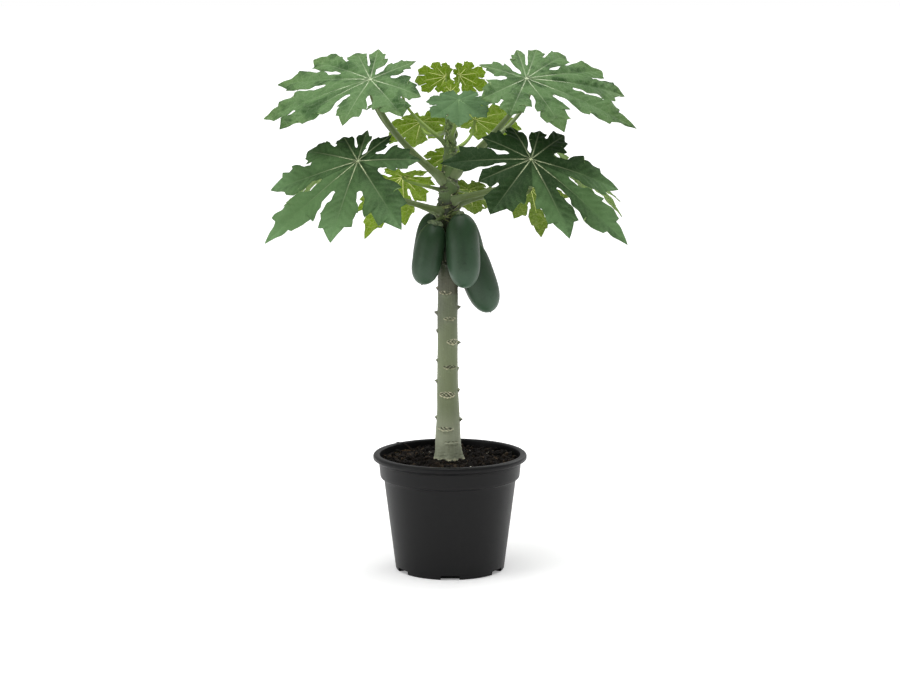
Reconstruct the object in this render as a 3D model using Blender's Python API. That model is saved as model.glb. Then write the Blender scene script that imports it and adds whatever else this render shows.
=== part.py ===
"""A young fruiting papaya tree in a round nursery pot.

The pot, its soil, the trunk, the leaf stalks, the lobed leaf blades and the fruits are separate closed
solids. Lengths are metres, +Z is up, -Y is the front, and the origin is the centre of the pot's underside.
"""
import math
from dataclasses import dataclass

import bmesh
import bpy
import numpy as np

# ---------------------------------------------------------------- fits
GAP = 0.0003                 # between pieces that touch
STALK_SEAT = 0.0005          # from a stalk's end to the blade it carries

# ---------------------------------------------------------------- pot and soil
POT_SIDES = 36
POT_BASE_R = 0.142
POT_BASE_CHAMFER = 0.004
POT_FLOOR = 0.004            # thickness of the floor
POT_WALL = 0.003
POT_STEP_R = 0.1722          # top of the tapered wall, just under the step
POT_STEP_Z = 0.2400
POT_BAND_LOW_R = 0.1815      # the straight band between the step and the lip
POT_BAND_LOW_Z = 0.2460
POT_BAND_HIGH_R = 0.1850
POT_BAND_HIGH_Z = 0.2830
POT_LIP_R = 0.2000           # outside of the rolled lip
POT_LIP_TOP = 0.3050
POT_LIP_DROP = 0.0145        # height of the lip's outer face
POT_LIP_ROUND = 0.0060       # rounding of the lip's outer top edge
POT_LIP_CHAMFER = 0.0030     # along its bottom edge
POT_MOUTH_R = 0.1825
POT_MOUTH_ROUND = 0.0040
NOTCH_COUNT = 6              # drain notches in the bottom corner
NOTCH_WIDE = 0.048
NOTCH_HIGH = 0.011
NOTCH_DEEP = 0.020
NOTCH_OVERSHOOT = 0.010      # of a notch's cutter past the pot
SOIL_EDGE_Z = 0.2875
SOIL_TOP_Z = 0.2900
SOIL_FLAT_R = 0.060          # level patch that the trunk stands on

# ---------------------------------------------------------------- trunk
TRUNK_SIDES = 16
TRUNK_FOOT_Z = SOIL_TOP_Z + GAP
# height, sideways lean and radius from the flat cut to the growing tip
TRUNK_STATIONS = (
    (TRUNK_FOOT_Z, -0.0035, 0.0415),
    (0.3000, -0.0038, 0.0375),
    (0.3180, -0.0042, 0.0345),
    (0.3600, -0.0050, 0.0320),
    (0.4200, -0.0055, 0.0290),
    (0.5000, -0.0062, 0.0268),
    (0.6200, -0.0062, 0.0260),
    (0.7400, -0.0058, 0.0258),
    (0.8600, -0.0050, 0.0262),
    (0.9300, -0.0045, 0.0268),
    (0.9800, -0.0038, 0.0250),
    (1.0300, -0.0020, 0.0205),
    (1.0900, 0.0010, 0.0155),
    (1.1500, 0.0030, 0.0115),
    (1.1950, 0.0040, 0.0080),
    (1.2150, 0.0045, 0.0040),
)

# ---------------------------------------------------------------- fruits
FRUIT_SIDES = 12
FRUIT_RINGS = 8
FRUIT_STALK_R = 0.0055
FRUIT_STALK_RINGS = 5
FRUIT_STALK_RISE = 0.012     # the stalk comes over the fruit's top from this far above it
FRUIT_STALK_PULL = 0.55      # how far the stalk keeps going straight out of the trunk
FRUIT_END_R = 0.0028         # blunt point at the bottom
FRUIT_FULLNESS = 3.1         # 2 gives an ellipse, more gives fuller ends
# name, height where the stalk leaves the trunk, top, bottom, greatest radius
FRUITS = (
    ("fruit_front_left", 0.920, (-0.036, -0.047, 0.912), (-0.072, -0.054, 0.754), 0.0382),
    ("fruit_front_right", 0.928, (0.027, -0.057, 0.937), (0.039, -0.074, 0.747), 0.0432),
    ("fruit_right", 0.890, (0.036, 0.014, 0.864), (0.105, 0.016, 0.673), 0.0440),
    ("fruit_back_left", 0.930, (-0.042, 0.046, 0.928), (-0.071, 0.062, 0.758), 0.0362),
    ("fruit_back_right", 0.930, (0.027, 0.062, 0.921), (0.071, 0.112, 0.757), 0.0365),
)

# ---------------------------------------------------------------- leaves
BLADE_THICK = 0.0050
BLADE_DROOP = math.radians(10.0) / 0.25      # bend of a lobe, radians per metre from the hub
# half width of a lobe by its length, its most by the leaf's reach, and a notch by the shorter lobe
LOBES_SLIM = (0.25, 0.18, 0.42)
LOBES_BROAD = (0.36, 0.30, 0.70)
SHALLOW_NOTCH = 0.78         # a shallow notch, by the shorter lobe
STALK_SINUS = 0.020          # notch over the stalk, measured from the hub
STALK_SINUS_SHARE = 0.50     # and at most this part of a usual notch
NECK_SHARE = 0.98            # half width of a lobe just past its notch, by that at the notch
LOBE_CLEAR = 0.010           # half the clear strip between neighbouring lobes, by the leaf's reach
WIDEST_BISECTOR = 1.25       # radians; past this a margin isn't held back by its neighbour
STALK_SIDES = 6
STALK_RINGS = 7
STALK_LEAST_R = 0.004        # a stalk's radius at the trunk, for a leaf of no reach
STALK_R_BY_REACH = 0.024     # what each metre of reach adds to it
STALK_END_SHARE = 0.52       # radius under the blade, as a part of that at the trunk
STALK_FLARE = 1.6            # how much of the taper lies near the trunk
STALK_START_PULL = 0.45
STALK_END_BY_BLADE = 0.35    # how far a stalk's end turns from upright towards the blade's normal
# margin of a lobe: part of the way from notch to tip, part of the half width
MARGIN_FULL = ((0.18, 0.80), (0.34, 0.88), (0.42, 1.02), (0.47, 0.74), (0.66, 0.78), (0.72, 0.46))
MARGIN_PLAIN = ((0.18, 0.80), (0.40, 1.00), (0.47, 0.72), (0.68, 0.62))
MARGIN_YOUNG = ((0.20, 0.84), (0.48, 1.00), (0.56, 0.70))
YOUNG_REACH = 0.130          # leaves up to this reach have broad lobes and the plainer margin
# bearing from the leaf's middle lobe in degrees, part of the leaf's reach
FAN_SEVEN = ((-126, 0.52), (-84, 0.74), (-42, 0.92), (0, 1.00), (42, 0.92), (84, 0.74), (126, 0.52))


@dataclass(frozen=True)
class Leaf:
    """One leaf: where its stalk starts, where its hub sits and how its blade lies."""

    name: str
    foot_z: float            # height where the stalk leaves the trunk
    hub: tuple               # top of the blade where the veins meet
    tilt: float              # degrees between the blade's normal and straight up
    lean: float              # bearing that the normal leans towards
    heading: float           # bearing of the middle lobe
    reach: float             # length of the longest lobe
    sag: float               # degrees by which the stalk sets out below the straight line to the hub
    lobes: tuple = FAN_SEVEN
    margin: tuple = ()
    stalk_pull: float = 0.25  # how far the stalk's end stays upright, as a part of its length
    stalk_share: float = 1.0  # the stalk's thickness beside the usual one
    shallow: tuple = ()      # bearings of the lobes that a shallow notch follows

    def lobe_form(self):
        """The width and the notches that this leaf's lobes follow."""
        return LOBES_BROAD if self.reach <= YOUNG_REACH else LOBES_SLIM

    def lobe_margin(self):
        """The margin that this leaf's lobes follow."""
        return self.margin or (MARGIN_YOUNG if self.reach <= YOUNG_REACH else MARGIN_PLAIN)


LEAVES = (
    # the four large ones at the front
    Leaf("upper_front_left", 1.005, (-0.199, -0.100, 1.278), 35, 245, 206, 0.290, 14, (
        (-121, 0.48), (-98, 0.52), (-69, 0.77), (-46, 0.96), (-17, 1.00), (-2, 0.90), (40, 0.58),
        (92, 0.63), (118, 0.56), (176, 0.43)), MARGIN_FULL, shallow=(-98, -17, 92)),
    Leaf("upper_front_right", 1.017, (0.191, -0.100, 1.280), 35, 295, 334, 0.305, 4, (
        (-168, 0.41), (-110, 0.55), (-81, 0.53), (-35, 0.64), (11, 1.00), (38, 0.93), (56, 0.80),
        (80, 0.66), (102, 0.50), (123, 0.44)), MARGIN_FULL, shallow=(-110, 38, 80)),
    Leaf("lower_front_left", 0.934, (-0.228, -0.200, 1.082), 45, 245, 226, 0.310, 12, (
        (-147, 0.35), (-113, 0.36), (-76, 0.52), (-40, 0.76), (-9, 1.00), (27, 0.79), (69, 0.85),
        (124, 0.53), (174, 0.36)), MARGIN_FULL, stalk_share=0.80, shallow=(-113, -76)),
    Leaf("lower_front_right", 0.962, (0.200, -0.220, 1.088), 45, 295, 314, 0.320, 6, (
        (-200, 0.36), (-155, 0.42), (-120, 0.74), (-97, 0.53), (-72, 0.69), (-18, 0.74), (11, 1.00),
        (43, 0.76), (97, 0.48), (122, 0.36)), MARGIN_FULL, stalk_share=0.80, shallow=(-200, -97, 97)),
    # the young ones round the tip
    Leaf("centre_front", 1.119, (0.022, -0.130, 1.229), 30, 270, 270, 0.112, 8),
    Leaf("top_left", 1.172, (-0.011, 0.042, 1.278), 65, 95, 180, 0.081, 5, (
        (-100, 0.40), (-66, 0.62), (-33, 0.92), (-8, 1.00), (18, 0.94), (50, 0.66), (92, 0.52)),
        stalk_share=0.60),
    Leaf("top_middle", 1.196, (0.002, 0.004, 1.243), 68, 90, 270, 0.034, 2),
    Leaf("top_right", 1.184, (0.024, 0.056, 1.281), 65, 85, 0, 0.083, 5, (
        (-138, 0.28), (-97, 0.45), (-50, 0.62), (-10, 0.84), (27, 1.00), (60, 0.84), (108, 0.36)),
        stalk_share=0.60),
    Leaf("upper_left", 1.099, (-0.121, 0.015, 1.234), 20, 170, 170, 0.105, 6),
    # the middle tier behind
    Leaf("middle_back_left", 1.142, (-0.077, 0.180, 1.153), 38, 110, 105, 0.122, 12),
    Leaf("middle_back_right", 1.087, (0.066, 0.200, 1.157), 38, 70, 0, 0.127, 12),
    Leaf("upper_back_left", 1.012, (-0.210, 0.160, 1.250), 15, 145, 145, 0.185, 13),
    Leaf("upper_back_right", 1.024, (0.210, 0.120, 1.250), 15, 30, 30, 0.185, 6),
    Leaf("back", 1.112, (0.005, 0.320, 1.155), 12, 90, 90, 0.170, 8),
    # the lower tier behind
    Leaf("inner_back", 1.030, (-0.004, 0.160, 1.067), 40, 95, 98, 0.090, 8),
    Leaf("lower_back_left", 0.985, (-0.123, 0.100, 1.016), 45, 110, 119, 0.245, 0, (
        (-120, 0.28), (-84, 0.42), (-54, 0.56), (-27, 0.78), (0, 1.00), (26, 0.66), (64, 0.40),
        (108, 0.28)), stalk_pull=0.10, stalk_share=0.60),
    Leaf("inner_back_right", 0.995, (0.050, 0.120, 0.981), 42, 70, 75, 0.110, 0,
         stalk_pull=0.10, stalk_share=0.75),
    Leaf("lower_back_right", 0.965, (0.212, 0.160, 0.980), 42, 60, 67, 0.212, 0, (
        (-120, 0.45), (-84, 0.52), (-52, 0.58), (-20, 0.70), (3, 1.00), (28, 0.80), (66, 0.50),
        (112, 0.42)), stalk_pull=0.12, stalk_share=0.75),
    Leaf("lower_left", 0.914, (-0.290, 0.060, 1.050), 38, 165, 165, 0.210, -5, stalk_share=0.75),
    Leaf("lower_right", 0.938, (0.300, 0.060, 1.055), 38, 20, 15, 0.210, -8, stalk_share=0.75),
)


# ---------------------------------------------------------------- helpers
def clear_scene():
    """Remove every object, mesh and material that is open."""
    for item in list(bpy.data.objects):
        bpy.data.objects.remove(item, do_unlink=True)
    for block in (bpy.data.meshes, bpy.data.materials):
        for item in list(block):
            block.remove(item)


def make_material(name, colour, roughness):
    """A Principled material of one colour."""
    material = bpy.data.materials.new(name)
    material.use_nodes = True
    shader = material.node_tree.nodes["Principled BSDF"]
    shader.inputs["Base Color"].default_value = (*colour, 1.0)
    shader.inputs["Roughness"].default_value = roughness
    shader.inputs["Metallic"].default_value = 0.0
    return material


def add_solid(name, vertices, faces, material, crease_degrees=40.0):
    """Make an object from points and faces, turned to face outwards and shaded smooth."""
    mesh = bpy.data.meshes.new(name)
    mesh.from_pydata([tuple(float(v) for v in point) for point in vertices], [], faces)
    shell = bmesh.new()
    shell.from_mesh(mesh)
    bmesh.ops.recalc_face_normals(shell, faces=shell.faces)
    shell.to_mesh(mesh)
    shell.free()
    mesh.shade_smooth()
    mesh.set_sharp_from_angle(angle=math.radians(crease_degrees))
    mesh.materials.append(material)
    solid = bpy.data.objects.new(name, mesh)
    bpy.context.collection.objects.link(solid)
    return solid


def cut_with(solid, cutter):
    """Subtract one object from another and keep the cutter as a guide."""
    cutter.hide_render = True
    cutter.display_type = "WIRE"
    cut = solid.modifiers.new("cut_" + cutter.name, "BOOLEAN")
    cut.operation = "DIFFERENCE"
    cut.object = cutter


def unit(vector):
    """The vector at length one."""
    vector = np.asarray(vector, dtype=float)
    return vector / np.linalg.norm(vector)


def ring_faces(rings, sides):
    """Faces of a stack of rings with a flat cap at each end."""
    faces = [list(range(sides))[::-1]]
    for ring in range(rings - 1):
        low = ring * sides
        for side in range(sides):
            after = (side + 1) % sides
            faces.append([low + side, low + after, low + sides + after, low + sides + side])
    faces.append([(rings - 1) * sides + side for side in range(sides)])
    return faces


def tube(points, radii, sides):
    """Points of a round tube along a smooth path, one ring to each path point."""
    points = np.asarray(points, dtype=float)
    tangents = np.gradient(points, axis=0)
    across = unit(np.cross(tangents[0], (0.0, 0.0, 1.0)) + (1e-6, 0.0, 0.0))
    vertices = []
    for centre, tangent, radius in zip(points, tangents, radii):
        forward = unit(tangent)
        across = unit(across - forward * (across @ forward))
        upward = np.cross(forward, across)
        for side in range(sides):
            turn = 2.0 * math.pi * side / sides
            vertices.append(centre + radius * (math.cos(turn) * across + math.sin(turn) * upward))
    return vertices


def bezier(start, start_pull, end_pull, end, count):
    """Evenly spread points on a cubic curve between two ends."""
    spread = np.linspace(0.0, 1.0, count)[:, None]
    rest = 1.0 - spread
    return (rest ** 3 * start + 3 * rest ** 2 * spread * start_pull
            + 3 * rest * spread ** 2 * end_pull + spread ** 3 * end)


def turned(profile, sides):
    """Points and faces of a profile turned about Z; its first and last points lie on the axis."""
    vertices = [(0.0, 0.0, profile[0][1])]
    for radius, height in profile[1:-1]:
        for side in range(sides):
            turn = 2.0 * math.pi * side / sides
            vertices.append((radius * math.cos(turn), radius * math.sin(turn), height))
    vertices.append((0.0, 0.0, profile[-1][1]))
    last = len(vertices) - 1
    faces = []
    for side in range(sides):
        after = (side + 1) % sides
        faces.append([0, 1 + after, 1 + side])
        for ring in range(len(profile) - 3):
            low = 1 + ring * sides
            faces.append([low + side, low + after, low + sides + after, low + sides + side])
        faces.append([last - sides + side, last - sides + after, last])
    return vertices, faces


# ---------------------------------------------------------------- pot and soil
def corner(inner_r, inner_z, size, degrees):
    """Points of a rounded corner of a profile, on a quarter circle of one size."""
    angles = [math.radians(angle) for angle in degrees]
    return [(inner_r + size * math.cos(angle), inner_z + size * math.sin(angle)) for angle in angles]


def inner_wall():
    """Radius and height along the inside of the pot, from the mouth down to the floor."""
    return (
        (POT_MOUTH_R, POT_LIP_TOP - POT_MOUTH_ROUND),
        (POT_BAND_HIGH_R - POT_WALL, POT_BAND_HIGH_Z),
        (POT_BAND_LOW_R - POT_WALL, POT_BAND_LOW_Z),
        (POT_STEP_R - POT_WALL, POT_STEP_Z),
        (POT_BASE_R - POT_WALL, POT_FLOOR),
    )


def build_pot(material):
    """A tapered pot with a step, a band, a rolled lip and notches in its bottom corner."""
    lip_low = POT_LIP_TOP - POT_LIP_DROP
    outside = [
        (0.0, 0.0),
        (POT_BASE_R - POT_BASE_CHAMFER, 0.0),
        (POT_BASE_R, POT_BASE_CHAMFER),
        (POT_STEP_R, POT_STEP_Z),
        (POT_BAND_LOW_R, POT_BAND_LOW_Z),
        (POT_BAND_HIGH_R, POT_BAND_HIGH_Z),
    ]
    chamfer, rounding, mouth = POT_LIP_CHAMFER, POT_LIP_ROUND, POT_MOUTH_ROUND
    outside += corner(POT_LIP_R - chamfer, lip_low + chamfer, chamfer, (-90, 0))
    outside += corner(POT_LIP_R - rounding, POT_LIP_TOP - rounding, rounding, (0, 45, 90))
    outside += corner(POT_MOUTH_R + mouth, POT_LIP_TOP - mouth, mouth, (90, 135))
    vertices, faces = turned([*outside, *inner_wall(), (0.0, POT_FLOOR)], POT_SIDES)
    pot = add_solid("pot", vertices, faces, material)
    cut_with(pot, build_notches(material))
    return pot


def build_notches(material):
    """Blocks that cut the drain notches out of the pot's bottom corner."""
    vertices = []
    faces = []
    for notch in range(NOTCH_COUNT):
        bearing = math.radians(-90.0 + 360.0 * notch / NOTCH_COUNT)
        outward = np.array((math.cos(bearing), math.sin(bearing), 0.0))
        sideways = np.array((-math.sin(bearing), math.cos(bearing), 0.0))
        first = len(vertices)
        near, far = POT_BASE_R - NOTCH_DEEP, POT_BASE_R + NOTCH_OVERSHOOT
        for height in (-NOTCH_OVERSHOOT, NOTCH_HIGH):
            for reach, side in ((near, -0.5), (far, -0.5), (far, 0.5), (near, 0.5)):
                point = reach * outward + side * NOTCH_WIDE * sideways
                vertices.append(point + (0.0, 0.0, height))
        for face in ((3, 2, 1, 0), (4, 5, 6, 7), (0, 1, 5, 4), (1, 2, 6, 5), (2, 3, 7, 6), (3, 0, 4, 7)):
            faces.append([first + vertex for vertex in face])
    return add_solid("notch_cutter", vertices, faces, material)


def build_soil(material):
    """The potting mix that fills the pot up to just under its lip."""
    wall = inner_wall()
    mouth, band = wall[0], wall[1]
    part = (SOIL_EDGE_Z - band[1]) / (mouth[1] - band[1])
    edge_r = band[0] + part * (mouth[0] - band[0])
    sides = [(radius - GAP, height) for radius, height in wall[1:-1]]
    profile = [(0.0, SOIL_TOP_Z), (SOIL_FLAT_R, SOIL_TOP_Z), (edge_r - GAP, SOIL_EDGE_Z), *sides]
    bottom = POT_FLOOR + NOTCH_HIGH
    rise = (bottom - POT_FLOOR) / (POT_STEP_Z - POT_FLOOR)
    bottom_r = POT_BASE_R + rise * (POT_STEP_R - POT_BASE_R) - POT_WALL - GAP
    profile += [(bottom_r, bottom), (bottom_r - NOTCH_DEEP, POT_FLOOR + GAP), (0.0, POT_FLOOR + GAP)]
    vertices, faces = turned(profile[::-1], POT_SIDES)
    return add_solid("soil", vertices, faces, material)


# ---------------------------------------------------------------- trunk
def trunk_centre(height):
    """Middle of the trunk at a height."""
    heights, leans, _ = zip(*TRUNK_STATIONS)
    return np.array((np.interp(height, heights, leans), 0.0, height))


def build_trunk(name, material, clearance=0.0):
    """Level rings stacked up the leaning trunk; a clearance makes the cutter for what meets it."""
    vertices = []
    swell = clearance / math.cos(math.pi / TRUNK_SIDES)
    for height, lean, radius in TRUNK_STATIONS:
        for side in range(TRUNK_SIDES):
            turn = 2.0 * math.pi * side / TRUNK_SIDES
            reach = radius + swell
            vertices.append((lean + reach * math.cos(turn), reach * math.sin(turn), height))
    faces = ring_faces(len(TRUNK_STATIONS), TRUNK_SIDES)
    if clearance:
        for vertex in range(-TRUNK_SIDES, 0):
            vertices[vertex] = np.add(vertices[vertex], (0.0, 0.0, clearance))
    return add_solid(name, vertices, faces, material)


# ---------------------------------------------------------------- fruits
def build_fruit(row, trunk_cutter, material):
    """A long oval fruit and the short stalk it hangs by, swept as one body."""
    name, foot_z, top, bottom, girth = row
    top = np.array(top)
    bottom = np.array(bottom)
    foot = trunk_centre(foot_z)
    axis = unit(bottom - top)
    start_pull = foot + FRUIT_STALK_PULL * (top - foot) * (1.0, 1.0, 0.0)
    points = list(bezier(foot, start_pull, top - FRUIT_STALK_RISE * axis, top, FRUIT_STALK_RINGS))
    radii = [FRUIT_STALK_R] * FRUIT_STALK_RINGS
    for ring in range(1, FRUIT_RINGS + 1):
        along = 0.5 - 0.5 * math.cos(math.pi * ring / (FRUIT_RINGS + 0.35))
        shape = (1.0 - abs(2.0 * along - 1.0) ** FRUIT_FULLNESS) ** 0.5
        points.append(top + along * (bottom - top))
        radii.append(girth * shape)
    points.append(bottom)
    radii.append(FRUIT_END_R)
    vertices = tube(points, radii, FRUIT_SIDES)
    fruit = add_solid(name, vertices, ring_faces(len(points), FRUIT_SIDES), material, 60.0)
    cut_with(fruit, trunk_cutter)
    return fruit


# ---------------------------------------------------------------- leaves
def leaf_axes(leaf):
    """Unit vectors of a blade: along its middle lobe, across it, and up out of its face."""
    tilt = math.radians(leaf.tilt)
    lean = math.radians(leaf.lean)
    heading = math.radians(leaf.heading)
    normal = np.array((math.sin(tilt) * math.cos(lean), math.sin(tilt) * math.sin(lean), math.cos(tilt)))
    forward = np.array((math.cos(heading), math.sin(heading), 0.0))
    forward = unit(forward - normal * (forward @ normal))
    return forward, np.cross(normal, forward), normal


def blade_point(leaf, flat, depth):
    """Where a point of the flat leaf comes to lie once the lobes droop, depth below the face."""
    forward, across, normal = leaf_axes(leaf)
    radius = math.hypot(*flat)
    outward = forward
    if radius > 0.0:
        outward = (flat[0] * forward + flat[1] * across) / radius
    droop = BLADE_DROOP * radius
    run = math.sin(droop) / BLADE_DROOP
    fall = (1.0 - math.cos(droop)) / BLADE_DROOP
    upward = math.sin(droop) * outward + math.cos(droop) * normal
    return np.array(leaf.hub) + run * outward - fall * normal - depth * upward


def half_lobe(leaf, index, step):
    """One margin of a lobe as (along, aside) pairs, from the notch beside it to near its tip."""
    bearing, share = leaf.lobes[index]
    length = share * leaf.reach
    beside = index + step
    at_stalk = beside not in range(len(leaf.lobes))
    other_bearing, other_share = leaf.lobes[beside % len(leaf.lobes)]
    between = math.radians(((other_bearing - bearing) * step) % 360.0) / 2.0
    width_share, most_share, sinus_share = leaf.lobe_form()
    if (bearing if step == 1 else other_bearing) in leaf.shallow:
        sinus_share = SHALLOW_NOTCH
    notch = sinus_share * min(share, other_share) * leaf.reach
    if at_stalk:
        notch = min(STALK_SINUS, STALK_SINUS_SHARE * notch)
    start = notch * math.cos(between)
    neck = notch * math.sin(between)
    margin = [(start, neck)]
    half_width = min(width_share * length, most_share * leaf.reach)
    for knot, (part, width) in enumerate(leaf.lobe_margin()):
        along = start + part * (length - start)
        limit = along * math.tan(min(between, WIDEST_BISECTOR)) - LOBE_CLEAR * leaf.reach
        if knot == 0 and not at_stalk:
            limit = min(limit, NECK_SHARE * neck)
        margin.append((along, min(width * half_width, limit)))
    return margin


def build_blade(leaf, material):
    """A thin blade of toothed lobes round a hub, drooping towards the tips."""
    flat = [(0.0, 0.0)]
    faces = []
    count = len(leaf.lobes)
    for index in range(count):
        notch = half_lobe(leaf, index, 1)[0]
        flat.append(turned_point(notch[0], notch[1], math.radians(leaf.lobes[index][0])))
    for index in range(count):
        bearing = math.radians(leaf.lobes[index][0])
        length = leaf.lobes[index][1] * leaf.reach
        left = half_lobe(leaf, index, 1)
        right = half_lobe(leaf, index, -1)
        left_row = [1 + index]
        right_row = [index or count]
        rib_row = []
        for step, (left_pair, right_pair) in enumerate(zip(left, right)):
            rib_row.append(len(flat))
            flat.append(turned_point(0.5 * (left_pair[0] + right_pair[0]), 0.0, bearing))
            if step:
                left_row.append(len(flat))
                flat.append(turned_point(left_pair[0], left_pair[1], bearing))
                right_row.append(len(flat))
                flat.append(turned_point(right_pair[0], -right_pair[1], bearing))
        tip = len(flat)
        flat.append(turned_point(length, 0.0, bearing))
        faces.append((0, right_row[0], rib_row[0]))
        faces.append((0, rib_row[0], left_row[0]))
        for low in range(len(rib_row) - 1):
            high = low + 1
            faces.append((right_row[low], right_row[high], rib_row[high], rib_row[low]))
            faces.append((rib_row[low], rib_row[high], left_row[high], left_row[low]))
        faces.append((right_row[-1], tip, rib_row[-1]))
        faces.append((rib_row[-1], tip, left_row[-1]))
    total = len(flat)
    vertices = [blade_point(leaf, point, 0.0) for point in flat]
    vertices += [blade_point(leaf, point, BLADE_THICK) for point in flat]
    edges = {edge for face in faces for edge in zip(face, face[1:] + face[:1])}
    rim = [(start, end) for start, end in sorted(edges) if (end, start) not in edges]
    under = [tuple(total + vertex for vertex in face[::-1]) for face in faces]
    walls = [(end, start, total + start, total + end) for start, end in rim]
    return add_solid("leaf_blade_" + leaf.name, vertices, faces + under + walls, material)


def turned_point(along, aside, bearing):
    """A point given along and aside of a lobe's rib, in the flat leaf's own axes."""
    return (along * math.cos(bearing) - aside * math.sin(bearing),
            along * math.sin(bearing) + aside * math.cos(bearing))


def stalk_radius(leaf):
    """Radius of a leaf's stalk where it leaves the trunk."""
    return leaf.stalk_share * (STALK_LEAST_R + STALK_R_BY_REACH * leaf.reach)


def build_stalk(leaf, trunk_cutter, material):
    """A tapering stalk that rises from the trunk and ends square under the blade's hub."""
    normal = leaf_axes(leaf)[2]
    foot = trunk_centre(leaf.foot_z)
    seat = np.array(leaf.hub) - (BLADE_THICK + STALK_SEAT) * normal
    span = seat - foot
    outward = unit((span[0], span[1], 0.0))
    upward = np.array((0.0, 0.0, 1.0))
    length = np.linalg.norm(span)
    rise = math.atan2(span[2], np.linalg.norm(span[:2])) - math.radians(leaf.sag)
    start_way = math.cos(rise) * outward + math.sin(rise) * upward
    end_way = unit(STALK_END_BY_BLADE * normal + (1.0 - STALK_END_BY_BLADE) * upward)
    start_pull = foot + STALK_START_PULL * length * start_way
    end_pull = seat - leaf.stalk_pull * length * end_way
    points = bezier(foot, start_pull, end_pull, seat, STALK_RINGS)
    narrowing = np.linspace(1.0, 0.0, STALK_RINGS) ** STALK_FLARE
    radii = stalk_radius(leaf) * (STALK_END_SHARE + (1.0 - STALK_END_SHARE) * narrowing)
    vertices = tube(points, radii, STALK_SIDES)
    for vertex in range(-STALK_SIDES, 0):
        above = (vertices[vertex] - seat) @ normal
        vertices[vertex] = vertices[vertex] - above / (end_way @ normal) * end_way
    stalk = add_solid("leaf_stalk_" + leaf.name, vertices, ring_faces(STALK_RINGS, STALK_SIDES), material)
    cut_with(stalk, trunk_cutter)
    return stalk


# ---------------------------------------------------------------- the plant
def main():
    """Build every solid of the potted plant."""
    clear_scene()
    plastic = make_material("black_plastic", (0.017, 0.017, 0.018), 0.45)
    mix = make_material("potting_mix", (0.030, 0.018, 0.012), 0.95)
    bark = make_material("trunk_bark", (0.27, 0.30, 0.18), 0.80)
    stalk_skin = make_material("stalk_skin", (0.24, 0.31, 0.16), 0.55)
    fruit_skin = make_material("fruit_skin", (0.040, 0.085, 0.055), 0.45)
    leaf_skin = make_material("leaf_skin", (0.085, 0.190, 0.085), 0.55)
    build_pot(plastic)
    build_soil(mix)
    build_trunk("trunk", bark)
    trunk_cutter = build_trunk("trunk_cutter", bark, GAP)
    for row in FRUITS:
        build_fruit(row, trunk_cutter, fruit_skin)
    for leaf in LEAVES:
        build_stalk(leaf, trunk_cutter, stalk_skin)
        build_blade(leaf, leaf_skin)


main()
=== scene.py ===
"""A potted young papaya tree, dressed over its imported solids.

Lengths are metres, +Z is up, -Y is the front, and the origin is the centre of the pot's underside. Each
sub-assembly is a class that holds its own sizes, builds its meshes and gives them their finish.
"""

import logging
from collections.abc import Iterable
from dataclasses import dataclass
from enum import Enum
from math import atan2, cos, hypot, pi, radians, sin, sqrt, tan, tau
from typing import Any

import bpy
import numpy as np
from bpy.types import Material, Mesh, Node, NodeSocket, NodeTree, Object
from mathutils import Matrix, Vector, noise


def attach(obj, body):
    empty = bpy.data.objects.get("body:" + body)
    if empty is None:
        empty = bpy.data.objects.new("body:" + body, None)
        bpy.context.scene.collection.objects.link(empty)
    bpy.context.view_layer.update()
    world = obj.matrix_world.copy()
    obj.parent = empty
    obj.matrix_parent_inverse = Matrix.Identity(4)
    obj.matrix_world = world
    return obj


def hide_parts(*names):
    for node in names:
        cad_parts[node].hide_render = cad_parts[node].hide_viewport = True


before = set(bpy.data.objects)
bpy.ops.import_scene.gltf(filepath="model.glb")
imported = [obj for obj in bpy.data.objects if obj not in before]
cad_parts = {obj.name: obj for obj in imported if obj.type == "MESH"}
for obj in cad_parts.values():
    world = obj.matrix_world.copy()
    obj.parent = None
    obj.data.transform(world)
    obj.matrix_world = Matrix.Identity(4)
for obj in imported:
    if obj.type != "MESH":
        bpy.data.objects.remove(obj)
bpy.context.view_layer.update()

Array = np.ndarray
Pair = tuple[float, float]
Colour = tuple[float, float, float]
Place = tuple[float, float, float]
Face = tuple[int, ...]
LOG = logging.getLogger("papaya")
BODY = "root"
UPWARD = np.array((0.0, 0.0, 1.0))


# ---- shader graphs
def rgb(red: int, green: int, blue: int) -> Colour:
    """The linear colour of an 8-bit screen colour."""
    parts = [value / 255.0 for value in (red, green, blue)]
    return tuple(part / 12.92 if part <= 0.04045 else ((part + 0.055) / 1.055) ** 2.4 for part in parts)


@dataclass(frozen=True)
class Number:
    """A number that a node tree works out; arithmetic on it adds Math nodes."""

    graph: "Graph"
    socket: NodeSocket

    def through(self, operation: str, *values: Any) -> "Number":
        """The values through one Math node of that operation."""
        made = self.graph.node("ShaderNodeMath", {"operation": operation}, dict(enumerate(values)))
        return Number(self.graph, made.outputs[0])

    def __add__(self, other: Any) -> "Number":
        """The sum."""
        return self.through("ADD", self, other)

    def __radd__(self, other: Any) -> "Number":
        """The sum, from the right."""
        return self.through("ADD", other, self)

    def __sub__(self, other: Any) -> "Number":
        """The difference."""
        return self.through("SUBTRACT", self, other)

    def __rsub__(self, other: Any) -> "Number":
        """The difference, from the right."""
        return self.through("SUBTRACT", other, self)

    def __mul__(self, other: Any) -> "Number":
        """The product."""
        return self.through("MULTIPLY", self, other)

    def __rmul__(self, other: Any) -> "Number":
        """The product, from the right."""
        return self.through("MULTIPLY", other, self)

    def smooth(self, low: float, high: float) -> "Number":
        """Zero below low and one above high, with an eased rise between them."""
        made = self.graph.node("ShaderNodeMapRange", {"interpolation_type": "SMOOTHSTEP"},
                               {"Value": self, "From Min": low, "From Max": high})
        return Number(self.graph, made.outputs["Result"])


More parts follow.
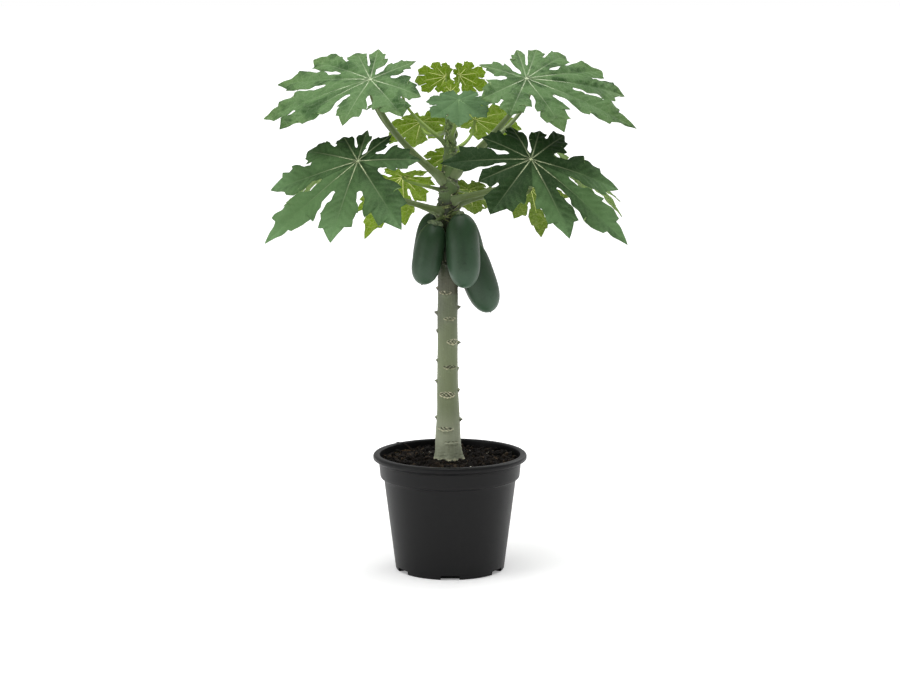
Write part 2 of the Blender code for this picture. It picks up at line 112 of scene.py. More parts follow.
class Graph:
    """The node tree of a material or of the world."""

    def __init__(self, tree: NodeTree) -> None:
        """Start with the tree emptied."""
        self.tree = tree
        tree.nodes.clear()

    def node(self, kind: str, settings: dict[str, Any] | None = None,
             sockets: dict[Any, Any] | None = None) -> Node:
        """Add a node.

        Args:
            kind: The node's type name.
            settings: The node's own properties, set first.
            sockets: A value or a link for each named or numbered input.

        Returns:
            The new node.
        """
        made = self.tree.nodes.new(kind)
        for name, value in (settings or {}).items():
            setattr(made, name, value)
        for name, value in (sockets or {}).items():
            source = value.socket if isinstance(value, Number) else value
            if isinstance(source, NodeSocket):
                self.tree.links.new(source, made.inputs[name])
            elif isinstance(source, tuple) and len(source) == 3 and made.inputs[name].type == "RGBA":
                made.inputs[name].default_value = (*source, 1.0)
            else:
                made.inputs[name].default_value = source
        return made

    def place(self, stretch: Place = (1.0, 1.0, 1.0)) -> NodeSocket:
        """The point in metres, stretched along each axis."""
        point = self.node("ShaderNodeTexCoord").outputs["Object"]
        made = self.node("ShaderNodeVectorMath", {"operation": "MULTIPLY"}, {0: point, 1: stretch})
        return made.outputs[0]

    def mark(self, name: str) -> Number:
        """A number that the mesh carries at each point."""
        return Number(self, self.node("ShaderNodeAttribute", {"attribute_name": name}).outputs["Fac"])

    def ragged(self, name: str, cloud: Number, amount: float) -> Number:
        """A number that the mesh carries, made uneven by a cloud."""
        return self.mark(name) + (cloud - 0.5) * amount

    def cloud(self, scale: float, detail: float = 3.0, stretch: Place = (1.0, 1.0, 1.0)) -> Number:
        """Soft noise around one half, with that many features to the metre."""
        made = self.node("ShaderNodeTexNoise", {},
                         {"Vector": self.place(stretch), "Scale": scale, "Detail": detail})
        return Number(self, made.outputs["Fac"])

    def cell_edge(self, scale: float) -> Number:
        """Distance to the nearest border of a net of cells, in cell sizes."""
        made = self.node("ShaderNodeTexVoronoi", {"feature": "DISTANCE_TO_EDGE"},
                         {"Vector": self.place(), "Scale": scale})
        return Number(self, made.outputs["Distance"])

    def mix(self, share: Number, first: Any, second: Any) -> NodeSocket:
        """A colour that goes from first to second as share goes from zero to one."""
        made = self.node("ShaderNodeMix", {"data_type": "RGBA"}, {0: share, 6: first, 7: second})
        return made.outputs[2]

    def bump(self, height: Number, depth: float) -> NodeSocket:
        """A normal that follows a height, whose one is that depth in metres."""
        made = self.node("ShaderNodeBump", {}, {"Height": height, "Distance": depth, "Strength": 1.0})
        return made.outputs["Normal"]

    def surface(self, sockets: dict[str, Any]) -> None:
        """End the tree in a Principled shader with those sockets."""
        shader = self.node("ShaderNodeBsdfPrincipled", {}, sockets)
        self.node("ShaderNodeOutputMaterial", {}, {"Surface": shader.outputs[0]})


def new_graph(name: str) -> tuple[Material, Graph]:
    """A new material and its emptied node tree."""
    material = bpy.data.materials.new(name)
    material.use_nodes = True
    return material, Graph(material.node_tree)


# ---- finishes
@dataclass(frozen=True)
class PlasticFinish:
    """Black moulded plastic with a faint mould grain and a little dust."""

    name: str = "moulded_plastic"
    body: Colour = rgb(13, 13, 14)
    dust: Colour = rgb(36, 35, 34)
    roughness: float = 0.38
    grain: float = 900.0
    streak: Place = (30.0, 30.0, 2.0)

    def material(self) -> Material:
        """Build the material."""
        made, graph = new_graph(self.name)
        haze = graph.cloud(1.0, 4.0, self.streak)
        patch = graph.cloud(14.0)
        share = haze.smooth(0.45, 0.85) * patch.smooth(0.35, 0.75) * 0.3
        grain = graph.cloud(self.grain, 2.0)
        graph.surface({
            "Base Color": graph.mix(share, self.body, self.dust),
            "Roughness": self.roughness + 0.12 * haze,
            "Specular IOR Level": 0.2,
            "Normal": graph.bump(grain, 0.00012),
        })
        return made


@dataclass(frozen=True)
class EarthFinish:
    """Moist crumbly matter in one of several browns."""

    name: str
    dark: Colour
    light: Colour
    grain: float = 420.0
    roughness: float = 0.92

    def material(self) -> Material:
        """Build the material."""
        made, graph = new_graph(self.name)
        coarse = graph.cloud(self.grain * 0.25, 5.0)
        fine = graph.cloud(self.grain, 4.0)
        graph.surface({
            "Base Color": graph.mix(coarse.smooth(0.38, 0.72), self.dark, self.light),
            "Roughness": self.roughness,
            "Specular IOR Level": 0.25,
            "Normal": graph.bump(fine + coarse, 0.0016),
        })
        return made


@dataclass(frozen=True)
class BarkFinish:
    """Smooth grey-green young bark with pale scar lips and dark scar cracks, and painted shade: under and
    between the fruits, through the crown under the leaves, under the scar lips and under the stalks' feet.
    """

    name: str = "young_bark"
    low: Colour = rgb(158, 164, 138)
    green: Colour = rgb(108, 118, 84)
    brown: Colour = rgb(82, 88, 68)
    # shaded and crown are painted shade: the fruits' shadow on the trunk, then the deeper shadow under the
    # crown's leaves
    shaded: Colour = rgb(68, 66, 50)
    crown: Colour = rgb(36, 50, 16)
    tip: Colour = rgb(86, 108, 60)
    pale: Colour = rgb(206, 200, 168)
    dark: Colour = rgb(44, 40, 24)
    green_at: Pair = (0.33, 0.44)
    brown_at: Pair = (0.52, 0.72)
    # painted shade of the fruits from just above the ragged scar, then deeper painted shade from the fruits'
    # lower ends up through the crown
    shaded_at: Pair = (0.722, 0.727)  # above the ragged scar under the fruits
    crown_shade_at: Pair = (0.755, 0.8)
    tip_at: Pair = (0.955, 0.978)  # where the green of the crowded stalks begins

    def material(self) -> Material:
        """Build the material."""
        made, graph = new_graph(self.name)
        height = Number(graph, graph.node("ShaderNodeSeparateXYZ", {}, {0: graph.place()}).outputs["Z"])
        patch = graph.cloud(26.0, 4.0, (1.0, 1.0, 0.45))
        fleck = graph.cloud(190.0, 5.0, (1.0, 1.0, 0.55))
        lengthwise = graph.cloud(120.0, 3.0, (1.0, 1.0, 0.1))
        tone = graph.mix(height.smooth(*self.green_at), self.low, self.green)
        brownness = height.smooth(*self.brown_at) * 0.75 + (patch - 0.5) * 0.9
        tone = graph.mix(brownness.smooth(0.0, 1.0), tone, self.brown)
        ragged = height + (fleck - 0.5) * 0.012
        # painted shade of the fruits and of the crown's leaves
        tone = graph.mix(ragged.smooth(*self.shaded_at) * (0.75 + (patch - 0.5) * 0.8), tone, self.shaded)
        tone = graph.mix(ragged.smooth(*self.crown_shade_at) * (0.92 + (patch - 0.5) * 0.5), tone, self.crown)
        tone = graph.mix(ragged.smooth(*self.tip_at) * (0.82 + (patch - 0.5) * 1.1), tone, self.tip)
        tone = graph.mix(fleck.smooth(0.6, 0.78) * 0.14, tone, self.pale)
        tone = graph.mix(lengthwise.smooth(0.58, 0.75) * 0.12, tone, self.dark)
        tone = graph.mix(graph.ragged("lip", fleck, 0.6).smooth(0.2, 0.85), tone, self.pale)
        # dark cracks, and painted shade under the scar lips and in the creases under the stalks' feet
        tone = graph.mix(graph.ragged("cracks_and_painted_shade", fleck, 0.7).smooth(0.25, 0.85) * 0.85, tone, self.dark)
        graph.surface({
            "Base Color": tone,
            "Roughness": 0.4 + 0.2 * fleck,
            "Specular IOR Level": 0.46,
            "Normal": graph.bump(fleck * 0.7 + lengthwise * 0.5 + patch, 0.0007),
        })
        return made


@dataclass(frozen=True)
class StalkFinish:
    """A firm green stalk with a painted highlight along its upper side, and fine lengthwise lines."""

    name: str
    green: Colour
    pale: Colour
    foot: Colour

    def material(self) -> Material:
        """Build the material."""
        made, graph = new_graph(self.name)
        patch = graph.cloud(45.0, 3.0)
        fleck = graph.cloud(320.0, 4.0)
        # painted highlight along the upper side
        tone = graph.mix(graph.ragged("upper", patch, 0.6).smooth(0.35, 0.95), self.green, self.pale)
        tone = graph.mix(graph.ragged("foot", patch, 0.5).smooth(0.25, 0.95), tone, self.foot)
        tone = graph.mix(fleck.smooth(0.58, 0.75) * 0.35, tone, self.pale)
        graph.surface({
            "Base Color": tone,
            "Roughness": 0.44 + 0.16 * patch,
            "Specular IOR Level": 0.3,
            "Normal": graph.bump(fleck, 0.0004),
        })
        return made


@dataclass(frozen=True)
class FruitFinish:
    """Waxy dark green skin with a grey bloom, pale specks, painted shade in the furrows and a worn pole."""

    name: str = "fruit_skin"
    skin: Colour = rgb(32, 55, 32)
    bloom: Colour = rgb(54, 81, 59)
    deep: Colour = rgb(22, 36, 20)
    speck: Colour = rgb(96, 118, 88)

    def material(self) -> Material:
        """Build the material."""
        made, graph = new_graph(self.name)
        broad = graph.cloud(17.0, 3.0, (1.0, 1.0, 0.35))
        mottle = graph.cloud(85.0, 4.0)
        speck = graph.cloud(620.0, 2.0)
        tone = graph.mix((broad * 0.9 + graph.mark("bloom") * 0.3).smooth(0.3, 1.0), self.skin, self.bloom)
        tone = graph.mix(mottle.smooth(0.55, 0.8) * 0.45, tone, self.deep)
        tone = graph.mix(speck.smooth(0.66, 0.76) * 0.4, tone, self.speck)
        # painted shade in the furrows between the faint ribs
        tone = graph.mix(graph.mark("furrow_shade").smooth(0.1, 1.0) * 0.55, tone, self.deep)
        graph.surface({
            "Base Color": tone,
            "Roughness": 0.38 + 0.14 * mottle,
            "Specular IOR Level": 0.34,
            "Sheen Weight": 0.08,
            "Sheen Roughness": 0.35,
            "Sheen Tint": self.bloom,
            "Normal": graph.bump(speck * 0.4 + mottle, 0.0005),
        })
        return made


@dataclass(frozen=True)
class PlainSkinFinish:
    """A small part of the plant in two mottled tones."""

    name: str
    dark: Colour
    light: Colour
    roughness: float = 0.7
    scale: float = 240.0

    def material(self) -> Material:
        """Build the material."""
        made, graph = new_graph(self.name)
        patch = graph.cloud(self.scale, 4.0)
        graph.surface({
            "Base Color": graph.mix(patch.smooth(0.35, 0.68), self.dark, self.light),
            "Roughness": self.roughness,
            "Normal": graph.bump(patch, 0.0006),
        })
        return made


def vein_nets(graph: Graph, fine: float, wide: float) -> tuple[Number, Number]:
    """The lines of the small net of veins and of the wide one, for two line widths in cell sizes."""
    return 1.0 - graph.cell_edge(150.0).smooth(0.0, fine), 1.0 - graph.cell_edge(52.0).smooth(0.0, wide)


@dataclass(frozen=True)
class LeafFinish:
    """A leaf's two faces and its veins."""

    name: str
    face: Colour  # upper face in the light
    shade: Colour  # upper face in the folds and where the leaf darkens
    tip: Colour  # upper face towards the lobes' tips
    vein: Colour
    under: Colour
    roughness: float = 0.56
    gloss: float = 0.18  # strength of the upper face's reflections
    net: float = 1.0  # how clearly the net of small veins shows
    blotch: float = 0.5  # how much the face darkens in patches

    def upper(self) -> Material:
        """The upper face: pale fine net, painted shade in the quilting and under the higher leaves, and a
        light line along each rib.
        """
        made, graph = new_graph(self.name + "_upper")
        patch = graph.cloud(22.0, 3.0)
        fleck = graph.cloud(260.0, 4.0)
        net, wide_net = vein_nets(graph, 0.12, 0.07)
        tone = graph.mix(graph.ragged("outward", patch, 0.7).smooth(0.3, 1.05), self.face, self.tip)
        # painted shade carried by the mesh, made uneven by darker patches
        darkness = graph.ragged("painted_shade", patch.smooth(0.32, 0.68), self.blotch) + (fleck - 0.5) * 0.25
        tone = graph.mix(darkness.smooth(0.1, 1.0), tone, self.shade)
        tone = graph.mix((net * 0.03 + wide_net * 0.04) * self.net, tone, self.vein)
        tone = graph.mix(graph.mark("rib").smooth(0.25, 1.0) * 0.22, tone, self.vein)
        quilt = patch * 0.6 + fleck * 0.25 - (net * 0.2 + wide_net * 0.25) * self.net
        graph.surface({
            "Base Color": tone,
            "Roughness": self.roughness + 0.14 * fleck,
            "Specular IOR Level": self.gloss,
            "Normal": graph.bump(quilt, 0.0007),
        })
        return made

    def lower(self) -> Material:
        """The under face: paler, matt, with the net of veins standing out."""
        made, graph = new_graph(self.name + "_under")
        patch = graph.cloud(30.0, 3.0)
        net, wide_net = vein_nets(graph, 0.16, 0.09)
        tone = graph.mix((patch - 0.2) * 0.5, self.under, self.face)
        tone = graph.mix(net * 0.1 + wide_net * 0.14, tone, self.vein)
        graph.surface({
            "Base Color": tone,
            "Roughness": 0.66 + 0.1 * patch,
            "Specular IOR Level": 0.16,
            "Normal": graph.bump(net * 0.5 + wide_net, 0.0007),
        })
        return made

    def ribs(self) -> Material:
        """The raised ribs and side veins, which fade into the face away from the hub."""
        made, graph = new_graph(self.name + "_veins")
        patch = graph.cloud(150.0, 4.0)
        light = tuple(min(1.0, 1.3 * part) for part in self.vein)
        tone = graph.mix(patch.smooth(0.35, 0.68), self.vein, light)
        tone = graph.mix(graph.ragged("far", patch, 0.2).smooth(0.1, 1.0) * 0.9, tone, self.face)
        graph.surface({
            "Base Color": tone,
            "Roughness": 0.55,
            "Specular IOR Level": self.gloss,
            "Normal": graph.bump(patch, 0.0004),
        })
        return made


class LeafKind(Enum):
    """How old a leaf is and how much sky it sees."""

    BROAD_PALE = LeafFinish(
        "pale_leaf", rgb(74, 104, 58), rgb(28, 62, 14), rgb(76, 104, 54),
        rgb(212, 222, 190), rgb(98, 124, 72),
        gloss=0.17, blotch=0.85)
    BROAD_DEEP = LeafFinish(
        "deep_leaf", rgb(70, 99, 57), rgb(18, 44, 8), rgb(92, 124, 80),
        rgb(206, 216, 172), rgb(92, 118, 62),
        roughness=0.6, gloss=0.13, net=0.35, blotch=0.2)
    GREYISH = LeafFinish(
        "greyish_leaf", rgb(68, 98, 58), rgb(42, 74, 32), rgb(72, 102, 62),
        rgb(132, 160, 110), rgb(98, 126, 74))
    FRESH = LeafFinish(
        "fresh_leaf", rgb(102, 136, 20), rgb(54, 88, 2), rgb(116, 148, 26),
        rgb(226, 232, 150), rgb(112, 143, 14), gloss=0.09)
    OLIVE = LeafFinish(
        "olive_leaf", rgb(86, 112, 26), rgb(46, 74, 4), rgb(94, 122, 28),
        rgb(190, 200, 120), rgb(82, 108, 10), gloss=0.09)
    MIDDLE = LeafFinish(
        "middle_leaf", rgb(72, 106, 52), rgb(40, 72, 20), rgb(82, 118, 56),
        rgb(170, 190, 120), rgb(108, 134, 66))


# ---- mesh helpers
def unit(rows: Any) -> Array:
    """Each row at length one."""
    rows = np.asarray(rows, dtype=float)
    return rows / np.maximum(np.linalg.norm(rows, axis=-1, keepdims=True), 1e-12)


def held(values: Any) -> Array:
    """Values held between zero and one."""
    return np.clip(values, 0.0, 1.0)


def hump(values: Any, middle: float, width: float) -> Array:
    """One in the middle, falling away over that width to either side."""
    return np.exp(-((values - middle) / width) ** 2)


def eased(values: Any, low: float, high: float) -> Array:
    """Zero below low and one above high, with an eased rise between them."""
    part = held((np.asarray(values, dtype=float) - low) / (high - low))
    return part * part * (3.0 - 2.0 * part)


def bezier(start: Array, start_pull: Array, end_pull: Array, end: Array, count: int) -> Array:
    """Points on a cubic curve between two ends.

    Args:
        start: Where the curve starts.
        start_pull: Control point that sets its first direction.
        end_pull: Control point that sets its last direction.
        end: Where the curve ends.
        count: How many points to give.

    Returns:
        The points, one to a row.
    """
    spread = np.linspace(0.0, 1.0, count)[:, None]
    rest = 1.0 - spread
    return (rest ** 3 * start + 3 * rest ** 2 * spread * start_pull
            + 3 * rest * spread ** 2 * end_pull + spread ** 3 * end)


def ring_turn(sides: int) -> Array:
    """Bearings of the points of a ring."""
    return tau * np.arange(sides) / sides


def ring_section(reach: Any, turn: Array) -> Array:
    """Offsets of ring points with that reach and bearing."""
    return np.stack((reach * np.cos(turn), reach * np.sin(turn)), axis=-1)


def round_section(radii: Array, sides: int) -> Array:
    """Offsets of round rings, one ring to each radius."""
    return ring_section(np.asarray(radii, dtype=float)[:, None], ring_turn(sides))


def outward_at(bearing: float) -> Array:
    """The level direction at a bearing."""
    return np.array((cos(bearing), sin(bearing), 0.0))


def turn_between(start: float, end: Array) -> Array:
    """Bearings less a first one, from half a turn back to half a turn on."""
    return (end - start + pi) % tau - pi


def put_in_scene(name: str, data: Any) -> Object:
    """A new object that shows that data."""
    made = bpy.data.objects.new(name, data)
    bpy.context.scene.collection.objects.link(made)
    return made


def new_mesh(name: str, points: Iterable[Any], faces: Iterable[Any]) -> Mesh:
    """A mesh from its points and faces."""
    made = bpy.data.meshes.new(name)
    made.from_pydata([tuple(point) for point in points], [], list(faces))
    return made


def ring_quads(rings: int, sides: int, first: int = 0) -> list[Face]:
    """Faces between the rings of a stack whose points start at that number."""
    return [(low + side, low + sides + side, low + sides + (side + 1) % sides, low + (side + 1) % sides)
            for low in range(first, first + (rings - 1) * sides, sides) for side in range(sides)]


def ring_faces(rings: int, sides: int) -> list[Face]:
    """Faces of a stack of rings with a cap at each end, seen from outside.

    Args:
        rings: How many rings.
        sides: How many points to a ring, turning from across to upward.

    Returns:
        The faces.
    """
    first, last = tuple(range(sides)), tuple(range((rings - 1) * sides, rings * sides))
    return [first, *ring_quads(rings, sides), last[::-1]]


def sweep(path: Array, across: Array, section: Array) -> Array:
    """Points of rings set along a path.

    Args:
        path: Centre of each ring.
        across: Direction of each ring's first axis, or one direction for all.
        section: Offsets along the ring's two axes, for each ring and side.

    Returns:
        The points, ring after ring.
    """
    tangent = unit(np.gradient(path, axis=0))
    across = np.broadcast_to(across, path.shape)
    across = unit(across - tangent * np.sum(across * tangent, axis=1, keepdims=True))
    upward = np.cross(across, tangent)
    points = (path[:, None] + section[..., :1] * across[:, None] + section[..., 1:] * upward[:, None])
    return points.reshape(-1, 3)


class Draft:
    """The points, faces, finishes and marks of one piece while it is being built."""

    def __init__(self, name: str) -> None:
        """Start an empty piece of that name."""
        self.name = name
        self.points: list[Array] = []
        self.faces: list[Face] = []
        self.slots: list[int] = []
        self.marks: dict[str, list[tuple[int, Array]]] = {}
        self.count = 0

    def add(self, points: Array, faces: Iterable[Face], slot: int = 0,
            marks: dict[str, Array] | None = None) -> None:
        """Add a shell.

        Args:
            points: Its points, one to a row.
            faces: Its faces, numbered from its own first point.
            slot: Number of its finish among the piece's materials.
            marks: Numbers that its points carry, by name.
        """
        first = self.count
        shell = [tuple(first + int(vertex) for vertex in face) for face in faces]
        self.points.append(np.asarray(points, dtype=float))
        self.faces.extend(shell)
        self.slots.extend([slot] * len(shell))
        for name, values in (marks or {}).items():
            self.marks.setdefault(name, []).append((first, np.asarray(values, dtype=float).ravel()))
        self.count += len(points)

    def tube(self, path: Array, across: Array, section: Array, slot: int = 0,
             marks: dict[str, Array] | None = None) -> None:
        """Add rings swept along a path, closed at both ends."""
        faces = ring_faces(len(path), section.shape[1])
        self.add(sweep(path, across, section), faces, slot, marks)

    def make(self, materials: list[Material], nodes: tuple[str, ...] = (),
             crease: float = 60.0) -> Object:
        """Turn the draft into a piece of the model.

        Args:
            materials: The piece's materials in the order of their numbers.
            nodes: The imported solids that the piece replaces.
            crease: Angle in degrees past which an edge stays sharp.

        Returns:
            The new object, riding on the plant's one body.
        """
        mesh = new_mesh(self.name, np.concatenate(self.points).tolist(), self.faces)
        mesh.polygons.foreach_set("material_index", self.slots)
        for name, shells in self.marks.items():
            values = np.zeros(self.count, dtype=np.float32)
            for first, numbers in shells:
                values[first:first + len(numbers)] = numbers
            mesh.attributes.new(name, "FLOAT", "POINT").data.foreach_set("value", values)
        mesh.shade_smooth()
        mesh.set_sharp_from_angle(angle=radians(crease))
        for material in materials:
            mesh.materials.append(material)
        piece = put_in_scene(self.name, mesh)
        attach(piece, BODY)
        if nodes:
            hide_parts(*nodes)
        LOG.info("%s: %d faces, replaces %s", self.name, len(self.faces), ", ".join(nodes) or "nothing")
        return piece


def waviness(bearing: Array, height: Array, seed: int, count: int, turns: tuple[int, int],
             rises: Pair) -> Array:
    """Sum of seeded waves round and up a stem, scaled to about one.

    Args:
        bearing: Bearings on the stem.
        height: Heights on the stem.
        seed: Seed of the draw.
        count: How many waves.
        turns: Least and most whole waves round the stem.
        rises: Least and most waves to the metre along it.

    Returns:
        The sum at each bearing and height.
    """
    draw = np.random.default_rng(seed)
    around = draw.integers(turns[0], turns[1] + 1, count)
    along = tau * (draw.uniform(*rises, count) * draw.choice((-1.0, 1.0), count))
    phases = draw.uniform(0.0, tau, count)
    total = np.zeros(np.broadcast(bearing, height).shape)
    for turn, rise, phase in zip(around, along, phases):
        total = total + np.sin(turn * bearing + rise * height + phase)
    return total / sqrt(count)


# ---- the studio
@dataclass
class Studio:
    """White floor, white surroundings, soft lights and the camera."""

    camera_at: Place = (0.0, -6.381, 1.6123)
    camera_tilt: float = 81.06  # degrees from looking straight down
    lens: float = 100.0
    sensor: float = 36.0
    floor_r: float = 60.0
    floor_sides: int = 96
    floor_colour: Colour = (0.9, 0.9, 0.9)
    floor_glow: Pair = (0.22, 0.6)  # near the pot and far from it
    glow_rise: Pair = (0.5, 2.2)  # where the one turns into the other
    seen: float = 1.0  # brightness of the surroundings as a backdrop
    sides: float = 0.62  # light from the sides and from behind
    behind_camera: float = 0.1  # light from in front of the plant, where the room is dark
    overhead: float = 0.45  # what the ceiling adds

    def build(self) -> None:
        """Make the camera, the floor, the surroundings and the lights."""
        self.add_camera()
        self.add_floor()
        self.add_surround()
        self.add_light("top_panel", (-0.3, -0.5, 3.3), (0.0, 0.0, 0.7), 2.4, 72.0)
        self.add_light("left_panel", (-3.2, -2.0, 1.5), (0.0, 0.0, 0.6), 1.6, 26.0)
        self.add_light("back_panel", (1.9, 2.4, 2.4), (0.0, 0.0, 0.8), 1.8, 26.0)
        LOG.info("studio: camera, floor, surroundings and lights")

    def add_camera(self) -> None:
        """Set the camera at a standing viewer's height, looking slightly down."""
        data = bpy.data.cameras.new("viewer")
        data.lens = self.lens
        data.sensor_width = self.sensor
        data.clip_end = 2.0 * self.floor_r
        camera = put_in_scene("viewer", data)
        camera.location = self.camera_at
        camera.rotation_euler = (radians(self.camera_tilt), 0.0, 0.0)
        bpy.context.scene.camera = camera

    def add_floor(self) -> None:
        """Lay a wide pale floor under the pot."""
        rim = ring_section(self.floor_r, ring_turn(self.floor_sides))
        mesh = new_mesh("floor", [(x, y, 0.0) for x, y in rim.tolist()], [tuple(range(self.floor_sides))])
        material, graph = new_graph("pale_floor")
        length = graph.node("ShaderNodeVectorMath", {"operation": "LENGTH"}, {0: graph.place()})
        far = Number(graph, length.outputs["Value"])
        near_glow, far_glow = ((level, level, level) for level in self.floor_glow)
        graph.surface({"Base Color": self.floor_colour, "Roughness": 0.9, "Specular IOR Level": 0.1,
                       "Emission Color": graph.mix(far.smooth(*self.glow_rise), near_glow, far_glow),
                       "Emission Strength": 1.0})
        mesh.materials.append(material)
        put_in_scene("floor", mesh)

    def add_surround(self) -> None:
        """White surroundings that darken towards the front."""
        world = bpy.data.worlds.new("studio")
        world.use_nodes = True
        bpy.context.scene.world = world
        bpy.context.scene.view_settings.view_transform = "Standard"
        graph = Graph(world.node_tree)
        way = graph.node("ShaderNodeTexCoord").outputs["Generated"]
        parts = graph.node("ShaderNodeSeparateXYZ", {}, {0: way})
        ahead, up = (Number(graph, parts.outputs[name]) for name in ("Y", "Z"))
        bright = self.behind_camera + (self.sides - self.behind_camera) * ahead.smooth(-0.85, 0.05)
        bright = bright + self.overhead * up.smooth(0.25, 0.95)
        seen = Number(graph, graph.node("ShaderNodeLightPath").outputs["Is Camera Ray"])
        strength = bright + seen * (self.seen - bright)
        glow = graph.node("ShaderNodeBackground", {}, {"Color": (1.0, 1.0, 1.0), "Strength": strength})
        graph.node("ShaderNodeOutputWorld", {}, {"Surface": glow.outputs[0]})

    def add_light(self, name: str, place: Place, target: Place, side: float, power: float) -> None:
        """Hang a soft square light.

        Args:
            name: The light's name.
            place: Where it hangs.
            target: Where it points.
            side: Length of its side.
            power: Its power in watts.
        """
        data = bpy.data.lights.new(name, "AREA")
        data.shape = "SQUARE"
        data.size = side
        data.energy = power
        light = put_in_scene(name, data)
        light.location = place
        aim = Vector(target) - Vector(place)
        light.rotation_euler = aim.to_track_quat("-Z", "Y").to_euler()


# ---- pot and potting mix
def turned(profile: Array, sides: int) -> tuple[Array, list[Face]]:
    """Turn a profile about Z.

    Args:
        profile: Radius and height, from the axis at the bottom, up the outside and back to the axis.
        sides: How many points to a ring.

    Returns:
        The points and the faces.
    """
    rings = profile[1:-1]
    heights = np.repeat(rings[:, 1:, None], sides, axis=1)
    points = np.concatenate((ring_section(rings[:, :1], ring_turn(sides)), heights), axis=-1).reshape(-1, 3)
    points = np.concatenate((points, ((0.0, 0.0, profile[0, 1]), (0.0, 0.0, profile[-1, 1]))))
    bottom, top = len(points) - 2, len(points) - 1
    faces = [(a, d, c, b) for a, b, c, d in ring_quads(len(rings), sides)]
    for side in range(sides):
        after = (side + 1) % sides
        faces += [(bottom, after, side), (bottom - sides + side, bottom - sides + after, top)]
    return points, faces


@dataclass
class Pot:
    """A tapered round nursery pot with a step, a band, a rolled lip and drain notches."""

    sides: int = 180
    base_r: float = 0.142
    base_chamfer: float = 0.004
    floor: float = 0.004
    wall: float = 0.003
    step_r: float = 0.1722
    step_z: float = 0.24
    band_low_r: float = 0.1815
    band_low_z: float = 0.246
    band_high_r: float = 0.185
    band_high_z: float = 0.283
    lip_r: float = 0.2
    lip_top: float = 0.305
    lip_drop: float = 0.0145
    lip_round: float = 0.0075
    lip_under_round: float = 0.0035
    mouth_r: float = 0.1825
    mouth_round: float = 0.005
    notches: int = 6
    notch_wide: float = 0.048
    notch_high: float = 0.011
    notch_deep: float = 0.02
    notch_past: float = 0.01  # how far the cutting blocks stand out past the wall and the bottom
    corner_steps: int = 7
    finish: PlasticFinish = PlasticFinish()

    def corner(self, centre: Pair, size: float, first: float, last: float) -> list[Any]:
        """Points of a rounded corner of the profile, from one angle to another in degrees."""
        angles = np.radians(np.linspace(first, last, self.corner_steps))
        return [(centre[0] + size * cos(a), centre[1] + size * sin(a)) for a in angles]

    def inner_r(self, height: float) -> float:
        """Radius of the inside of the wall at a height."""
        heights = (self.floor, self.step_z, self.band_low_z, self.band_high_z, self.lip_top)
        radii = (self.base_r, self.step_r, self.band_low_r, self.band_high_r, self.mouth_r + self.wall)
        return float(np.interp(height, heights, radii)) - self.wall

    def profile(self) -> Array:
        """Radius and height all round the wall, up the outside and down the inside."""
        under = self.lip_top - self.lip_drop
        size, low, mouth = self.lip_round, self.lip_under_round, self.mouth_round
        rows = [(0.0, 0.0)]
        rows += self.corner((self.base_r - self.base_chamfer, self.base_chamfer), self.base_chamfer, -90, -8)
        for part in np.linspace(0.05, 0.97, 9):
            rows.append((self.base_r + part * (self.step_r - self.base_r),
                         self.base_chamfer + part * (self.step_z - self.base_chamfer)))
        rows += [(self.step_r, self.step_z - 0.0012), (self.step_r + 0.0012, self.step_z + 0.0004)]
        rows += [(self.band_low_r - 0.0012, self.band_low_z - 0.0022)]
        rows += [(self.band_low_r, self.band_low_z), (self.band_low_r + 0.0008, self.band_low_z + 0.006)]
        rows += [(self.band_high_r, self.band_high_z - 0.001), (self.band_high_r + 0.001, self.band_high_z)]
        rows += self.corner((self.lip_r - low, under + low), low, -90, 0)
        rows += self.corner((self.lip_r - size, self.lip_top - size), size, 8, 90)
        rows += self.corner((self.mouth_r + mouth, self.lip_top - mouth), mouth, 90, 180)
        for height in (0.292, self.band_high_z, self.band_low_z, self.step_z, self.floor):
            rows.append((self.inner_r(height), height))
        return np.array([*rows, (0.0, self.floor)])

    def notch_blocks(self) -> Object:
        """Blocks that cut the drain notches, for a Boolean."""
        points, faces = [], []
        past, deep = self.notch_past, -self.notch_deep
        for notch in range(self.notches):
            bearing = radians(-90.0 + 360.0 * notch / self.notches)
            outward = outward_at(bearing)
            sideways = np.array((-outward[1], outward[0], 0.0))
            first = len(points)
            for height in (-past, self.notch_high):
                for reach, side in ((deep, -0.5), (past, -0.5), (past, 0.5), (deep, 0.5)):
                    point = (self.base_r + reach) * outward + side * self.notch_wide * sideways
                    points.append(point + height * UPWARD)
            for face in ((3, 2, 1, 0), (4, 5, 6, 7), (0, 1, 5, 4), (1, 2, 6, 5), (2, 3, 7, 6), (3, 0, 4, 7)):
                faces.append([first + vertex for vertex in face])
        return put_in_scene("notch_blocks", new_mesh("notch_blocks", points, faces))

    def build(self) -> None:
        """Turn the wall, cut its notches and dress it."""
        draft = Draft("nursery_pot")
        draft.add(*turned(self.profile(), self.sides))
        pot = draft.make([self.finish.material()], ("pot",), 32.0)
        blocks = self.notch_blocks()
        cut = pot.modifiers.new("notches", "BOOLEAN")
        cut.operation = "DIFFERENCE"
        cut.object = blocks
        graph = bpy.context.evaluated_depsgraph_get()
        cut_mesh = bpy.data.meshes.new_from_object(pot.evaluated_get(graph))
        pot.modifiers.remove(cut)
        pot.data = cut_mesh
        bpy.data.objects.remove(blocks, do_unlink=True)


